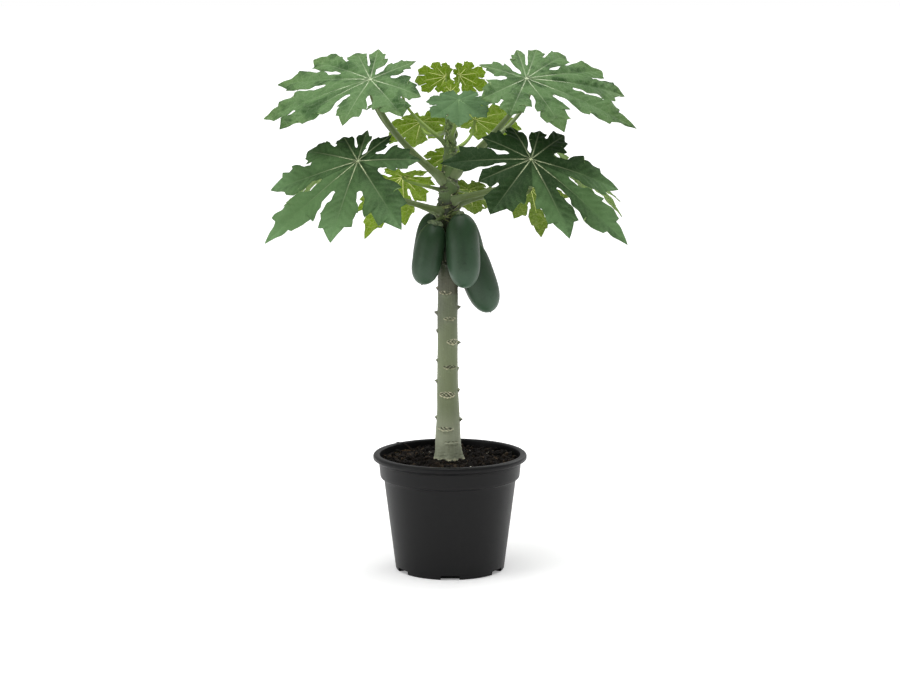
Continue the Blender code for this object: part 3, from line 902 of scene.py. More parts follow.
@dataclass
class PottingMix:
    """Dark peat with crumbs, fibres, bark bits and a few white grains."""

    pot: Pot
    rings: int = 64
    sides: int = 200
    level: float = 0.2868  # mean height of the surface
    edge_drop: float = 0.0012
    clod: float = 0.0052  # height of the surface's clods
    # share, clods to the metre and layer of the noise
    clod_layers: tuple[Place, ...] = ((0.55, 42.0, 0.3), (0.35, 115.0, 3.1), (0.22, 290.0, 7.7))
    clearance: float = 0.0006
    wall_gap: float = 0.006  # what lies loose keeps this far from the mouth
    bottom: float = 0.25  # the fill that can't be seen stops here
    crumb_count: int = 1700
    crumb_r: Pair = (0.0011, 0.008)
    foot_crumbs: int = 230
    foot_crumb_r: Pair = (0.0018, 0.0056)
    foot_r: Pair = (0.037, 0.054)  # the ring round the trunk that they fill
    crumb_shares: tuple[float, ...] = (0.62, 0.3, 0.08)
    fibre_count: int = 130
    fibre_long: Pair = (0.008, 0.04)
    fibre_r: Pair = (0.0004, 0.0011)
    fibre_rings: int = 7
    # curve of the stick that leans on the wall
    stick: tuple[Place, ...] = (
        (-0.1, 0.104, 0.288), (-0.112, 0.112, 0.304), (-0.124, 0.122, 0.308), (-0.146, 0.128, 0.308))
    stick_r: tuple[float, float, int] = (0.0022, 0.001, 9)  # at its ends, and the number of rings
    grain_count: int = 46
    grain_r: Pair = (0.0006, 0.0014)
    large_grain: Place = (0.053, -0.108, 0.003)  # its place and radius
    seed: int = 11
    bed: EarthFinish = EarthFinish("peat_bed", rgb(14, 10, 7), rgb(36, 27, 20))
    crumb_tones: tuple[EarthFinish, ...] = (
        EarthFinish("peat_black", rgb(11, 8, 6), rgb(28, 21, 16)),
        EarthFinish("peat_brown", rgb(22, 16, 11), rgb(46, 36, 26)),
        EarthFinish("bark_bits", rgb(38, 30, 22), rgb(80, 66, 50)),
    )
    fibre_tone: EarthFinish = EarthFinish("dry_fibre", rgb(60, 46, 32), rgb(120, 98, 72))
    stick_tone: EarthFinish = EarthFinish("dark_stick", rgb(26, 20, 14), rgb(52, 42, 32))
    grain_tone: EarthFinish = EarthFinish(
        "white_grain", rgb(190, 186, 174), rgb(232, 230, 222))

    def surface_z(self, x: float, y: float) -> float:
        """Height of the uneven surface at a place."""
        radius = hypot(x, y)
        lift = 0.0
        for share, scale, layer in self.clod_layers:
            lift += share * noise.noise(Vector((x * scale, y * scale, layer)))
        return self.level + self.clod * lift - self.edge_drop * (radius / self.pot.mouth_r) ** 3

    def build(self) -> None:
        """Build the bed and everything that lies on it."""
        draw = np.random.default_rng(self.seed)
        self.build_bed()
        self.build_crumbs(draw)
        self.build_fibres(draw)
        self.build_grains(draw)

    def build_bed(self) -> None:
        """The fill, with an uneven top."""
        edge = self.pot.inner_r(self.level) - self.clearance
        turn = ring_turn(self.sides)
        points = [(0.0, 0.0, self.surface_z(0.0, 0.0))]
        for radius in edge * np.linspace(0.0, 1.0, self.rings + 1)[1:]:
            points += [(x, y, self.surface_z(x, y)) for x, y in ring_section(radius, turn).tolist()]
        low_ring = ring_section(self.pot.inner_r(self.bottom) - self.clearance, turn)
        points += [(x, y, self.bottom) for x, y in low_ring.tolist()]
        points.append((0.0, 0.0, self.bottom))
        faces = ring_quads(self.rings + 1, self.sides, 1)
        last = len(points) - 1
        low = last - self.sides
        for side in range(self.sides):
            after = (side + 1) % self.sides
            faces += [(0, 1 + side, 1 + after), (last, low + after, low + side)]
        draft = Draft("peat_bed")
        draft.add(np.array(points), faces)
        draft.make([self.bed.material()], ("soil",), 180.0)

    def spot(self, draw: np.random.Generator, foot: bool = False) -> Pair:
        """A random place on the surface, clear of the wall, or close round the trunk's foot."""
        angle = draw.uniform(0.0, tau)
        if foot:
            radius = draw.uniform(*self.foot_r)
        else:
            radius = sqrt(draw.uniform(0.05, 1.0)) * (self.pot.mouth_r - self.wall_gap)
        return radius * cos(angle), radius * sin(angle)

    def build_crumbs(self, draw: np.random.Generator) -> None:
        """Lumps of peat and bark, half sunk in the bed."""
        points, faces = lump_shape()
        draft = Draft("peat_crumbs")
        total = self.crumb_count + self.foot_crumbs
        for number in range(total):
            foot = number >= self.crumb_count
            x, y = self.spot(draw, foot)
            size = self.crumb_r[0] + (self.crumb_r[1] - self.crumb_r[0]) * draw.uniform() ** 3.4
            if foot:
                size = draw.uniform(*self.foot_crumb_r)
            lump = rough_lump(draw, points, 0.28, size * draw.uniform(0.6, 1.25, 3))
            centre = (x, y, self.surface_z(x, y) + 0.25 * size)
            draft.add(centre + lump, faces, int(draw.choice(3, p=self.crumb_shares)))
        draft.make([tone.material() for tone in self.crumb_tones], (), 25.0)

    def build_fibres(self, draw: np.random.Generator) -> None:
        """Dry fibres and thin sticks that lie on the bed, and one that leans on the wall."""
        draft = Draft("dry_fibres")
        for _ in range(self.fibre_count):
            x, y = self.spot(draw)
            length = draw.uniform(*self.fibre_long) * (0.4 + 0.6 * draw.uniform())
            angle = draw.uniform(0.0, tau)
            way = np.array((cos(angle), sin(angle)))
            bend = draw.uniform(-0.3, 0.3) * length * np.array((-way[1], way[0]))
            spread = np.linspace(-0.5, 0.5, self.fibre_rings)[:, None]
            flat = np.array((x, y)) + spread * length * way + (0.25 - spread ** 2) * bend
            flat *= np.minimum(1.0, (self.pot.mouth_r - 0.005) / np.linalg.norm(flat, axis=1))[:, None]
            heights = [self.surface_z(*row) + 0.0016 for row in flat]
            path = np.column_stack((flat, heights))
            girth = np.full(self.fibre_rings, draw.uniform(*self.fibre_r))
            draft.tube(path, UPWARD, round_section(girth, 5))
        stick = bezier(*map(np.array, self.stick), self.stick_r[2])
        draft.tube(stick, UPWARD, round_section(np.linspace(*self.stick_r), 6), 1)
        draft.make([self.fibre_tone.material(), self.stick_tone.material()])

    def build_grains(self, draw: np.random.Generator) -> None:
        """Small white grains, one of them larger."""
        points, faces = lump_shape()
        draft = Draft("white_grains")
        for number in range(self.grain_count):
            x, y = self.spot(draw)
            size = draw.uniform(*self.grain_r)
            if number == 0:
                x, y, size = self.large_grain
            centre = (x, y, self.surface_z(x, y) + 0.0012 + 0.4 * size)
            draft.add(centre + rough_lump(draw, points, 0.2, size), faces)
        draft.make([self.grain_tone.material()])


def rough_lump(draw: np.random.Generator, points: Array, rough: float, scale: Any) -> Array:
    """Points of a lump made uneven by that share, scaled along its axes and turned at random."""
    points = points * (1.0 + draw.uniform(-rough, rough, len(points)))[:, None] * scale
    axes, _ = np.linalg.qr(draw.normal(size=(3, 3)))
    return points @ (axes if np.linalg.det(axes) > 0.0 else -axes).T


def lump_shape() -> tuple[Array, list[Face]]:
    """Points and faces of a round lump of 42 points."""
    golden = (1.0 + sqrt(5.0)) / 2.0
    level = [(-1, golden, 0), (1, golden, 0), (-1, -golden, 0), (1, -golden, 0)]
    points = [row[-shift:] + row[:-shift] for shift in range(3) for row in level]
    faces = [
        (0, 11, 5), (0, 5, 1), (0, 1, 7), (0, 7, 10), (0, 10, 11), (1, 5, 9), (5, 11, 4), (11, 10, 2),
        (10, 7, 6), (7, 1, 8), (3, 9, 4), (3, 4, 2), (3, 2, 6), (3, 6, 8), (3, 8, 9), (4, 9, 5), (2, 4, 11),
        (6, 2, 10), (8, 6, 7), (9, 8, 1)]
    middles: dict[tuple[int, int], int] = {}
    finer = []
    for face in faces:
        inner = []
        for start, end in zip(face, face[1:] + face[:1]):
            edge = (min(start, end), max(start, end))
            if edge not in middles:
                middles[edge] = len(points)
                points.append(tuple((a + b) / 2.0 for a, b in zip(points[start], points[end])))
            inner.append(middles[edge])
        finer += [(face[0], inner[0], inner[2]), (face[1], inner[1], inner[0]),
                  (face[2], inner[2], inner[1]), tuple(inner)]
    return unit(points), finer


# ---- trunk
@dataclass(frozen=True)
class Scar:
    """The mark that a fallen leaf leaves on the trunk."""

    height: float
    bearing: float  # radians
    half_width: float
    half_height: float
    lip: float  # how far the lower lip stands out
    cracks: float  # how much of it dark cracks fill
    pale: float  # how pale its edge is
    thorn: float = 0.0  # how far the lip is drawn into a dark point


@dataclass
class Trunk:
    """The single stem: root flare, taper, leaf scars and a crowded crown zone."""

    sides: int = 144
    row: float = 0.0014  # height of one row of faces on the bare trunk
    crown_row: float = 0.0021  # and in the crown
    crown_z: float = 0.79
    # height, sideways lean and radius from the flat cut to the growing tip
    stations: tuple[Place, ...] = (
        (0.2903, -0.0035, 0.0415), (0.3, -0.0038, 0.0375), (0.318, -0.0042, 0.0345),
        (0.36, -0.005, 0.032), (0.42, -0.0055, 0.029), (0.5, -0.0062, 0.0268),
        (0.62, -0.0062, 0.026), (0.74, -0.0058, 0.0258), (0.86, -0.005, 0.0262),
        (0.93, -0.0045, 0.0268), (0.98, -0.0038, 0.025), (1.03, -0.002, 0.0205),
        (1.09, 0.001, 0.0155), (1.15, 0.003, 0.0115), (1.195, 0.004, 0.008),
        (1.215, 0.0045, 0.004))
    smoothing: int = 15  # rows over which the stations are eased
    # height, bearing in degrees, half width, half height, cracks and paleness of the scars in front
    front_scars: tuple[tuple[float, ...], ...] = (
        (0.339, 286, 0.027, 0.0042, 0.5, 0.4), (0.374, 257, 0.0265, 0.0064, 0.6, 0.8),
        (0.463, 267, 0.0262, 0.0098, 0.6, 0.95), (0.535, 286, 0.0232, 0.0064, 0.8, 0.6),
        (0.601, 304, 0.02, 0.0088, 0.45, 1.0), (0.6615, 282, 0.019, 0.0058, 0.25, 0.75),
        (0.729, 255, 0.0205, 0.0056, 0.2, 0.7))
    back_scars: tuple[tuple[float, ...], ...] = (
        (0.345, 88, 0.019, 0.005, 0.45, 0.5), (0.386, 112, 0.019, 0.007, 0.6, 0.8),
        (0.442, 72, 0.02, 0.0085, 0.55, 0.95), (0.512, 98, 0.017, 0.0062, 0.4, 0.8),
        (0.578, 80, 0.018, 0.007, 0.6, 0.9), (0.644, 108, 0.016, 0.0056, 0.3, 0.8),
        (0.708, 90, 0.018, 0.005, 0.15, 0.9))
    # height, bearing in degrees and reach of the thorn-like scars at the sides
    side_scars: tuple[tuple[float, ...], ...] = (
        (0.405, 181, 0.0062), (0.5, 178, 0.0082), (0.555, 184, 0.005), (0.632, 180, 0.0052),
        (0.679, 177, 0.01), (0.743, 182, 0.006), (0.399, 0, 0.0098), (0.477, 357, 0.0062),
        (0.533, 4, 0.005), (0.601, 0, 0.0096), (0.693, 2, 0.0104), (0.752, 358, 0.005))
    thorn_half_width: float = 0.0105
    thorn_half_height: float = 0.0045
    front_lip: float = 0.0026
    lip_high: float = 0.003  # a lip slopes off over this height above its crest
    lip_low: float = 0.0095  # and over this height below it
    # middle and width of a scar's pale lower line, its pale upper line and the dark line of painted shade
    # under it
    lip_line: Pair = (0.0008, 0.0014)
    brow_line: Pair = (0.0004, 0.0009)
    shade_under_lip: Pair = (-0.004, 0.0026)
    crowded_from: float = 0.77
    crowded_to: float = 1.19
    crowded_step: float = 0.0085
    golden_angle: float = radians(137.5)
    # seed, count, whole waves round the trunk and waves to the metre along it
    ragged_waves: tuple[Any, ...] = (5, 16, (8, 26), (40.0, 120.0))
    crackle_waves: tuple[Any, ...] = (6, 18, (8, 24), (90.0, 240.0))
    torn_waves: tuple[Any, ...] = (8, 14, (9, 40), (60.0, 260.0))
    # the same for the bark's unevenness, after the depth of the waves
    uneven_waves: tuple[tuple[Any, ...], ...] = (
        (0.00065, 1, 12, (1, 5), (2.0, 12.0)), (0.00028, 2, 22, (12, 34), (1.0, 9.0)),
        (0.00022, 3, 18, (3, 12), (60.0, 160.0)))
    flare_high: float = 0.045  # height of the root flare's ribs
    ridge_count: int = 54
    ridge_zone: Pair = (0.905, 0.968)  # heights of three ridges in four
    high_zone: Pair = (0.96, 1.15)  # and of the fourth
    thorn_count: int = 70
    thorn_zone: Pair = (0.86, 1.12)
    bud_count: int = 38
    buds_from: float = 1.075
    bud_step: float = 0.0035
    bud_rings: int = 12
    # height, bearing and radius of each stalk where it leaves the bark
    feet: tuple[Place, ...] = ()
    foot_swell: float = 0.16  # how far the bark swells round a foot, by the stalk's radius
    foot_crease: float = 0.1  # and how far it sinks in the crease under the foot
    foot_rim: float = 0.4  # how pale the edge below that crease is
    seed: int = 23
    finish: BarkFinish = BarkFinish()
    ridge_tone: PlainSkinFinish = PlainSkinFinish(
        "crown_ridges", rgb(84, 96, 48), rgb(140, 148, 96))
    bud_tone: PlainSkinFinish = PlainSkinFinish(
        "bud_green", rgb(62, 84, 36), rgb(112, 132, 72), 0.5)

    def centre(self, height: Any) -> Array:
        """Middle of the trunk at one or several heights."""
        heights, leans, _ = zip(*self.stations)
        height = np.asarray(height, dtype=float)
        return np.stack((np.interp(height, heights, leans), 0.0 * height, height), axis=-1)

    def radius(self, height: Any) -> Array:
        """Radius of the trunk at one or several heights, before its relief."""
        heights, _, radii = zip(*self.stations)
        return np.interp(height, heights, radii)

    def scars(self) -> list[Scar]:
        """The broad scars, the thorns at the sides, then the crowded ones up a golden spiral."""
        made = []
        for height, bearing, half_width, half_height, cracks, pale in (*self.front_scars, *self.back_scars):
            made.append(Scar(height, radians(bearing), half_width, half_height,
                             self.front_lip, cracks, pale))
        for height, bearing, reach in self.side_scars:
            made.append(Scar(height, radians(bearing), self.thorn_half_width, self.thorn_half_height,
                             reach, cracks=0.25, pale=0.45, thorn=1.0))
        draw = np.random.default_rng(self.seed)
        height, bearing = self.crowded_from, 0.0
        while height < self.crowded_to:
            radius = float(self.radius(height))
            size = radius / self.radius(self.crowded_from)
            made.append(Scar(height, bearing, radius * draw.uniform(0.6, 0.95), 0.0062 * size,
                             (0.003 + 0.003 * draw.uniform()) * size, draw.uniform(0.7, 1.0),
                             draw.uniform(0.3, 0.75)))
            bearing += self.golden_angle
            step = self.crowded_step if height > 0.86 else 2.2 * self.crowded_step
            height += step * draw.uniform(0.8, 1.2)
        return made

    def relief(self, bearing: Array, height: Array, radius: Array) -> tuple[Array, Array, Array]:
        """How the scars raise and colour the bark.

        Args:
            bearing: Bearing of each column.
            height: Height of each row.
            radius: Radius of each row.

        Returns:
            The lift in metres, the pale lips, and the dark cracks together with the painted shade under the
            lips and in the creases under the stalks' feet, for each row and column.
        """
        lift = np.zeros((len(height), len(bearing)))
        lips = np.zeros_like(lift)
        dark_cracks_and_shade = np.zeros_like(lift)
        ragged = waviness(bearing[None], height[:, None], *self.ragged_waves)
        crackle = waviness(bearing[None], height[:, None], *self.crackle_waves)
        for scar in self.scars():
            rows = np.abs(height - scar.height) < 3.0 * scar.half_height + 0.012
            turn = turn_between(scar.bearing, bearing)
            aside = turn[None] * radius[rows, None] / scar.half_width
            body = held(1.0 - aside ** 2)
            above = height[rows, None] - scar.height
            rough = ragged[rows]
            low_line = above + 0.85 * scar.half_height * body + 0.0007 * rough
            high_line = 0.85 * scar.half_height * body ** 0.8 - above - 0.0009 * rough
            sides = np.minimum(1.0, 3.0 * body)
            slope = np.where(low_line > 0.0, 1.0 - low_line / self.lip_high, 1.0 + low_line / self.lip_low)
            ridge = held(slope) ** 1.2
            point = held(1.0 - np.abs(aside)) ** 1.15
            ridge *= point if scar.thorn else body ** 1.3 * (1.0 + 0.25 * rough)
            lip = hump(low_line, *self.lip_line) * sides
            brow = hump(high_line, *self.brow_line) * sides
            inside = eased(low_line, 0.0006, 0.0022) * eased(high_line, 0.0002, 0.0014) * (body > 0.0)
            cracks = inside * held(scar.cracks + 0.55 * crackle[rows])
            lift[rows] += scar.lip * ridge + 0.0007 * brow * min(1.0, scar.pale) - 0.001 * cracks
            paleness = scar.pale * np.maximum(lip * (0.95 + 0.25 * rough), brow * (0.6 + 0.45 * rough))
            paleness = np.maximum(paleness, 0.55 * scar.pale * inside * held(0.4 - crackle[rows]))
            lips[rows] = np.maximum(lips[rows], held(paleness))
            # painted shade: a dark line under each lip, darker the further the lip stands out
            under = hump(low_line, *self.shade_under_lip) * sides * min(1.0, scar.lip / 0.006)
            darkness = np.maximum(np.maximum(cracks, under), scar.thorn * eased(ridge, 0.45, 0.9))
            dark_cracks_and_shade[rows] = np.maximum(dark_cracks_and_shade[rows], held(darkness))
        for foot_height, foot_bearing, half in self.feet:
            turn = turn_between(foot_bearing, bearing)
            aside = turn[None] * radius[:, None] / (1.55 * half)
            above = (height[:, None] - foot_height) / (2.1 * half)
            ring = np.hypot(aside, above)
            crease = hump(ring, 1.05, 0.2) * eased(-above, -0.15, 0.55)
            lift += self.foot_swell * half * hump(ring, 0.0, 1.0) - self.foot_crease * half * crease
            # painted shade in the crease under the foot
            dark_cracks_and_shade = np.maximum(dark_cracks_and_shade, crease)
            rim = hump(ring, 1.48, 0.1) * eased(-above, 0.4, 1.0)
            lips = np.maximum(lips, self.foot_rim * rim)
        return lift, lips, dark_cracks_and_shade

    def build(self) -> None:
        """Build the bark, the crown's ridges and the buds."""
        self.build_bark()
        self.build_ridges()
        self.build_buds()

    def build_bark(self) -> None:
        """The bark with all its relief."""
        foot, tip = self.stations[0][0], self.stations[-1][0]
        crown_rows = int((tip - self.crown_z) / self.crown_row) + 1
        height = np.concatenate((np.arange(foot, self.crown_z, self.row),
                                 np.linspace(self.crown_z, tip, crown_rows)))
        rows = len(height)
        kernel = np.hanning(self.smoothing + 2)[1:-1]
        padded = np.pad(self.radius(height), self.smoothing // 2, "reflect", reflect_type="odd")
        radius = np.convolve(padded, kernel / kernel.sum(), "valid")
        bearing = ring_turn(self.sides)
        lift, lips, dark_cracks_and_shade = self.relief(bearing, height, radius)
        grid_turn, grid_height = np.meshgrid(bearing, height)
        size = radius[:, None] / radius.max()
        for depth, *settings in self.uneven_waves:
            lift += depth * size * waviness(grid_turn, grid_height, *settings)
        flare = 1.0 - eased(grid_height, foot, foot + self.flare_high)
        roots = 0.0022 * np.cos(5.0 * grid_turn + 0.7) + 0.0012 * np.cos(9.0 * grid_turn + 2.0)
        lift += flare ** 1.5 * roots
        lift -= 0.0012 * flare
        torn = waviness(grid_turn, grid_height, *self.torn_waves)
        hem = 1.0 - eased(grid_height + 0.004 * torn, foot + 0.002, foot + 0.013)
        lift += hem * (0.001 * torn - 0.0004)
        lips = np.maximum(lips, held(hem * (0.55 + 0.5 * torn)))
        lift *= eased(tip - grid_height, -0.002, 0.03)
        reach = np.maximum(radius[:, None] + lift, 0.002)
        middle = self.centre(height)
        x, y = middle[:, :1] + reach * np.cos(grid_turn), reach * np.sin(grid_turn)
        points = np.stack((x, y, grid_height), axis=-1).reshape(-1, 3)
        draft = Draft("papaya_stem")
        faces = [face[::-1] for face in ring_faces(rows, self.sides)]
        draft.add(points, faces, 0, {"lip": lips, "cracks_and_painted_shade": dark_cracks_and_shade})
        draft.make([self.finish.material()], ("trunk",), 70.0)

    def build_ridges(self) -> None:
        """Thin crossing ridges and short thorns where the stalks crowd together."""
        draw = np.random.default_rng(self.seed + 1)
        draft = Draft("crown_ridges")
        for number in range(self.ridge_count):
            height = draw.uniform(*self.ridge_zone) if number % 4 else draw.uniform(*self.high_zone)
            bearing = draw.uniform(0.0, tau)
            radius = float(self.radius(height))
            spread = np.linspace(-0.5, 0.5, 9)
            span = draw.uniform(0.9, 1.7) * radius
            slope = draw.choice((-1.0, 1.0)) * draw.uniform(0.25, 0.75)
            turn = bearing + spread * span / radius
            rise = height + spread * span * slope + 0.004 * (0.25 - spread ** 2)
            out = self.radius(rise) + 0.0006 + 0.0022 * (1.0 - (2.0 * spread) ** 2)
            path = self.centre(rise)
            path[:, :2] += ring_section(out, turn)
            girth = draw.uniform(0.001, 0.0022) * (1.0 - 0.8 * (2.0 * spread) ** 4)
            draft.tube(path, UPWARD, round_section(girth, 6))
        for _ in range(self.thorn_count):
            height = draw.uniform(*self.thorn_zone)
            outward = outward_at(draw.uniform(0.0, tau))
            root = self.centre(height) + (self.radius(height) - 0.002) * outward
            way = unit(outward + draw.uniform(0.1, 0.9) * UPWARD)
            length = draw.uniform(0.005, 0.0095)
            spread = np.linspace(0.0, 1.0, 5)[:, None]
            path = root + spread * length * way + spread ** 2 * 0.25 * length * UPWARD
            side = unit(np.cross(way, UPWARD))
            draft.tube(path, side, round_section(np.linspace(0.0021, 0.0003, 5), 6))
        draft.make([self.ridge_tone.material()])

    def build_buds(self) -> None:
        """Small folded leaves round the growing tip."""
        draw = np.random.default_rng(self.seed + 2)
        draft = Draft("tip_buds")
        for number in range(self.bud_count):
            height = self.buds_from + self.bud_step * number
            outward = outward_at(number * self.golden_angle)
            start = self.centre(height) + 0.6 * self.radius(height) * outward
            length = draw.uniform(0.014, 0.026)
            end = start + length * unit(0.34 * outward + UPWARD)
            path = bezier(start, start + 0.4 * length * unit(outward + 0.6 * UPWARD),
                          end - 0.35 * length * unit(UPWARD - 0.1 * outward), end, self.bud_rings)
            spread = np.linspace(0.0, 1.0, self.bud_rings)
            wide = 0.0052 * np.sin(pi * held(0.18 + 0.8 * spread)) ** 0.8 + 0.0004
            section = round_section(wide, 10) * (1.0, 0.62)
            draft.tube(path, np.cross(outward, UPWARD), section)
        draft.make([self.bud_tone.material()])


# ---- fruits
@dataclass
class Fruit:
    """A long oval fruit with faint ribs, a collar, a worn pole and the stalk it hangs by."""

    name: str
    foot_z: float
    top: Place
    bottom: Place
    girth: float
    trunk: Trunk
    seed: int
    sides: int = 72
    rings: int = 64
    stalk_r: float = 0.0055
    stalk_rings: int = 14
    stalk_sides: int = 16
    stalk_rise: float = 0.012
    stalk_pull: float = 0.55
    fullness: float = 3.1
    rib_count: int = 5
    rib_depth: float = 0.011
    collar_sides: int = 40
    broad_collar: float = 1.85  # spread of the cushion on the fruit that shows one from the front

    def build(self, materials: list[Material]) -> None:
        """Build the fruit with its collar, pole and stalk."""
        top, bottom = np.array(self.top), np.array(self.bottom)
        foot = self.trunk.centre(self.foot_z)
        axis = unit(bottom - top)
        draft = Draft("papaya_" + self.name)
        self.add_body(draft, top, bottom, axis)
        self.add_pole(draft, bottom, axis)
        start_pull = foot + self.stalk_pull * (top - foot) * (1.0, 1.0, 0.0)
        seat = top + 0.006 * axis
        path = bezier(foot, start_pull, seat - (self.stalk_rise + 0.006) * axis, seat, self.stalk_rings)
        spread = np.linspace(0.0, 1.0, self.stalk_rings)
        girth = self.stalk_r * (0.92 + 0.45 * (1.0 - spread) ** 3 + 0.3 * spread ** 6)
        side = unit(np.cross(top - foot, UPWARD))
        sides = self.stalk_sides
        foot_mark = np.repeat(0.6 - 0.3 * spread, sides)
        # the painted highlight of a stalk's upper side, held even all round here
        marks = {"upper": np.full_like(foot_mark, 0.3), "foot": foot_mark}
        draft.tube(path, side, round_section(girth, sides), 1, marks)
        self.add_collar(draft, top, axis)
        draft.make(materials, ("fruit_" + self.name,), 50.0)

    def add_body(self, draft: Draft, top: Array, bottom: Array, axis: Array) -> None:
        """The skin, with five faint ribs and a little unevenness."""
        ring = np.arange(self.rings + 1) / self.rings
        along = 0.5 - 0.5 * np.cos(pi * ring)
        shape = held(1.0 - np.abs(2.0 * along - 1.0) ** self.fullness) ** 0.5
        turn = ring_turn(self.sides)
        phase = self.seed * 1.7
        rib = np.cos(self.rib_count * turn[None] + phase) * np.sin(pi * along[:, None]) ** 0.5
        uneven = 0.01 * waviness(turn[None], along[:, None] * 0.2, self.seed, 7, (1, 3), (3.0, 9.0))
        reach = self.girth * shape[:, None] * (0.994 + self.rib_depth * rib + uneven)
        section = ring_section(reach, turn)
        path = top + along[:, None] * (bottom - top)
        side = unit(np.cross(axis, (0.2, 1.0, 0.0)))
        bloom = np.broadcast_to(eased(along, 0.25, 1.0)[:, None], rib.shape)
        # painted shade in the furrows between the ribs
        furrow_shade = held(-rib) ** 3 * 0.5
        draft.tube(path, side, section, 0, {"bloom": bloom, "furrow_shade": furrow_shade})

    def add_pole(self, draft: Draft, bottom: Array, axis: Array) -> None:
        """The dark stub of the flower at the fruit's lower end."""
        spread = np.linspace(0.0, 1.0, 5)
        path = bottom + (spread[:, None] * 0.0042 - 0.0022) * axis
        girth = 0.0034 * (1.0 - 0.75 * spread ** 2)
        draft.tube(path, np.array((1.0, 0.0, 0.0)), round_section(girth, 10), 3)

    def add_collar(self, draft: Draft, top: Array, axis: Array) -> None:
        """A lobed cushion where the stalk meets the fruit."""
        turn = ring_turn(self.collar_sides)
        lobes = 1.0 + 0.16 * np.cos(5.0 * turn + self.seed)
        levels = np.array((-0.0055, -0.004, -0.0015, 0.0015, 0.0045, 0.007, 0.0085))
        reaches = np.array((0.006, 0.0078, 0.0092, 0.0102, 0.0104, 0.0076, 0.003))
        path = top + levels[:, None] * axis
        reaches = reaches * (self.broad_collar if self.name == "front_left" else 1.0)
        reach = reaches[:, None] * np.where(levels[:, None] > -0.003, lobes[None], 1.0)
        draft.tube(path, unit(np.cross(axis, (0.2, 1.0, 0.0))), ring_section(reach, turn), 2)


# ---- leaves
STALK_SINUS = 0.02  # notch over the stalk, measured from the hub
STALK_SINUS_SHARE = 0.5  # and at most this part of a usual notch
SHALLOW_NOTCH = 0.78  # a shallow notch, by the shorter lobe
LOBE_CLEAR = 0.01  # half the clear strip between neighbouring lobes, by the leaf's reach
WIDEST_BISECTOR = 1.25  # radians; past this a margin isn't held back by its neighbour
BLADE_DROOP = radians(10.0) / 0.25  # bend of a lobe, radians per metre from the hub
FAN_SEVEN = ((-126, 0.52), (-84, 0.74), (-42, 0.92), (0, 1.0), (42, 0.92), (84, 0.74), (126, 0.52))


@dataclass(frozen=True)
class LobeForm:
    """How broad and how folded a leaf's lobes are, and how deep the notches between them."""

    width: float  # half width, as a part of the lobe's length
    most: float  # and at most this part of the leaf's reach
    sinus: float  # a notch, as a part of the shorter lobe
    fold: float  # rise of the lobe away from its rib
    neck: float  # narrowest part just past a notch, by the half width at the notch


SLIM_LOBES = LobeForm(0.25, 0.18, 0.42, 0.26, 0.86)
BROAD_LOBES = LobeForm(0.36, 0.3, 0.7, 0.4, 1.0)


class Margin(Enum):
    """The teeth of a lobe: part of the way from notch to tip, part of the half width, and forward lean."""

    FULL = (
        (0.4, 1.06, 0.055), (0.445, 0.78, 0.0), (0.56, 0.78, 0.0), (0.67, 0.76, 0.045), (0.715, 0.5, 0.0))
    PLAIN = ((0.42, 1.04, 0.05), (0.475, 0.74, 0.0), (0.66, 0.7, 0.045), (0.71, 0.46, 0.0))
    YOUNG = ((0.44, 1.06, 0.045), (0.5, 0.74, 0.0), (0.7, 0.56, 0.035), (0.75, 0.38, 0.0))


@dataclass(frozen=True)
class Leaf:
    """One leaf: where its stalk starts, where its hub sits and how its blade lies."""

    name: str
    foot_z: float
    hub: Place
    tilt: float
    lean: float
    heading: float
    reach: float
    sag: float
    kind: LeafKind
    lobes: tuple[Pair, ...] = FAN_SEVEN
    margin: Margin = Margin.PLAIN
    # painted shadow of the higher leaves on the lobes behind the hub
    painted_shade: float = 0.0  # how much darker the lobes behind the hub are
    stalk_pull: float = 0.25  # how far the stalk's end stays upright, as a part of its length
    stalk_share: float = 1.0  # the stalk's thickness beside the usual one
    shallow: tuple[int, ...] = ()  # bearings of the lobes that a shallow notch follows

    def form(self) -> LobeForm:
        """How broad and how folded the lobes are."""
        return BROAD_LOBES if self.margin is Margin.YOUNG else SLIM_LOBES

    def axes(self) -> tuple[Array, Array, Array]:
        """Unit vectors of the blade: along its middle lobe, across it, and up out of its face."""
        tilt, lean, heading = (radians(v) for v in (self.tilt, self.lean, self.heading))
        normal = np.array((sin(tilt) * cos(lean), sin(tilt) * sin(lean), cos(tilt)))
        forward = np.array((cos(heading), sin(heading), 0.0))
        forward = unit(forward - normal * (forward @ normal))
        return forward, np.cross(normal, forward), normal


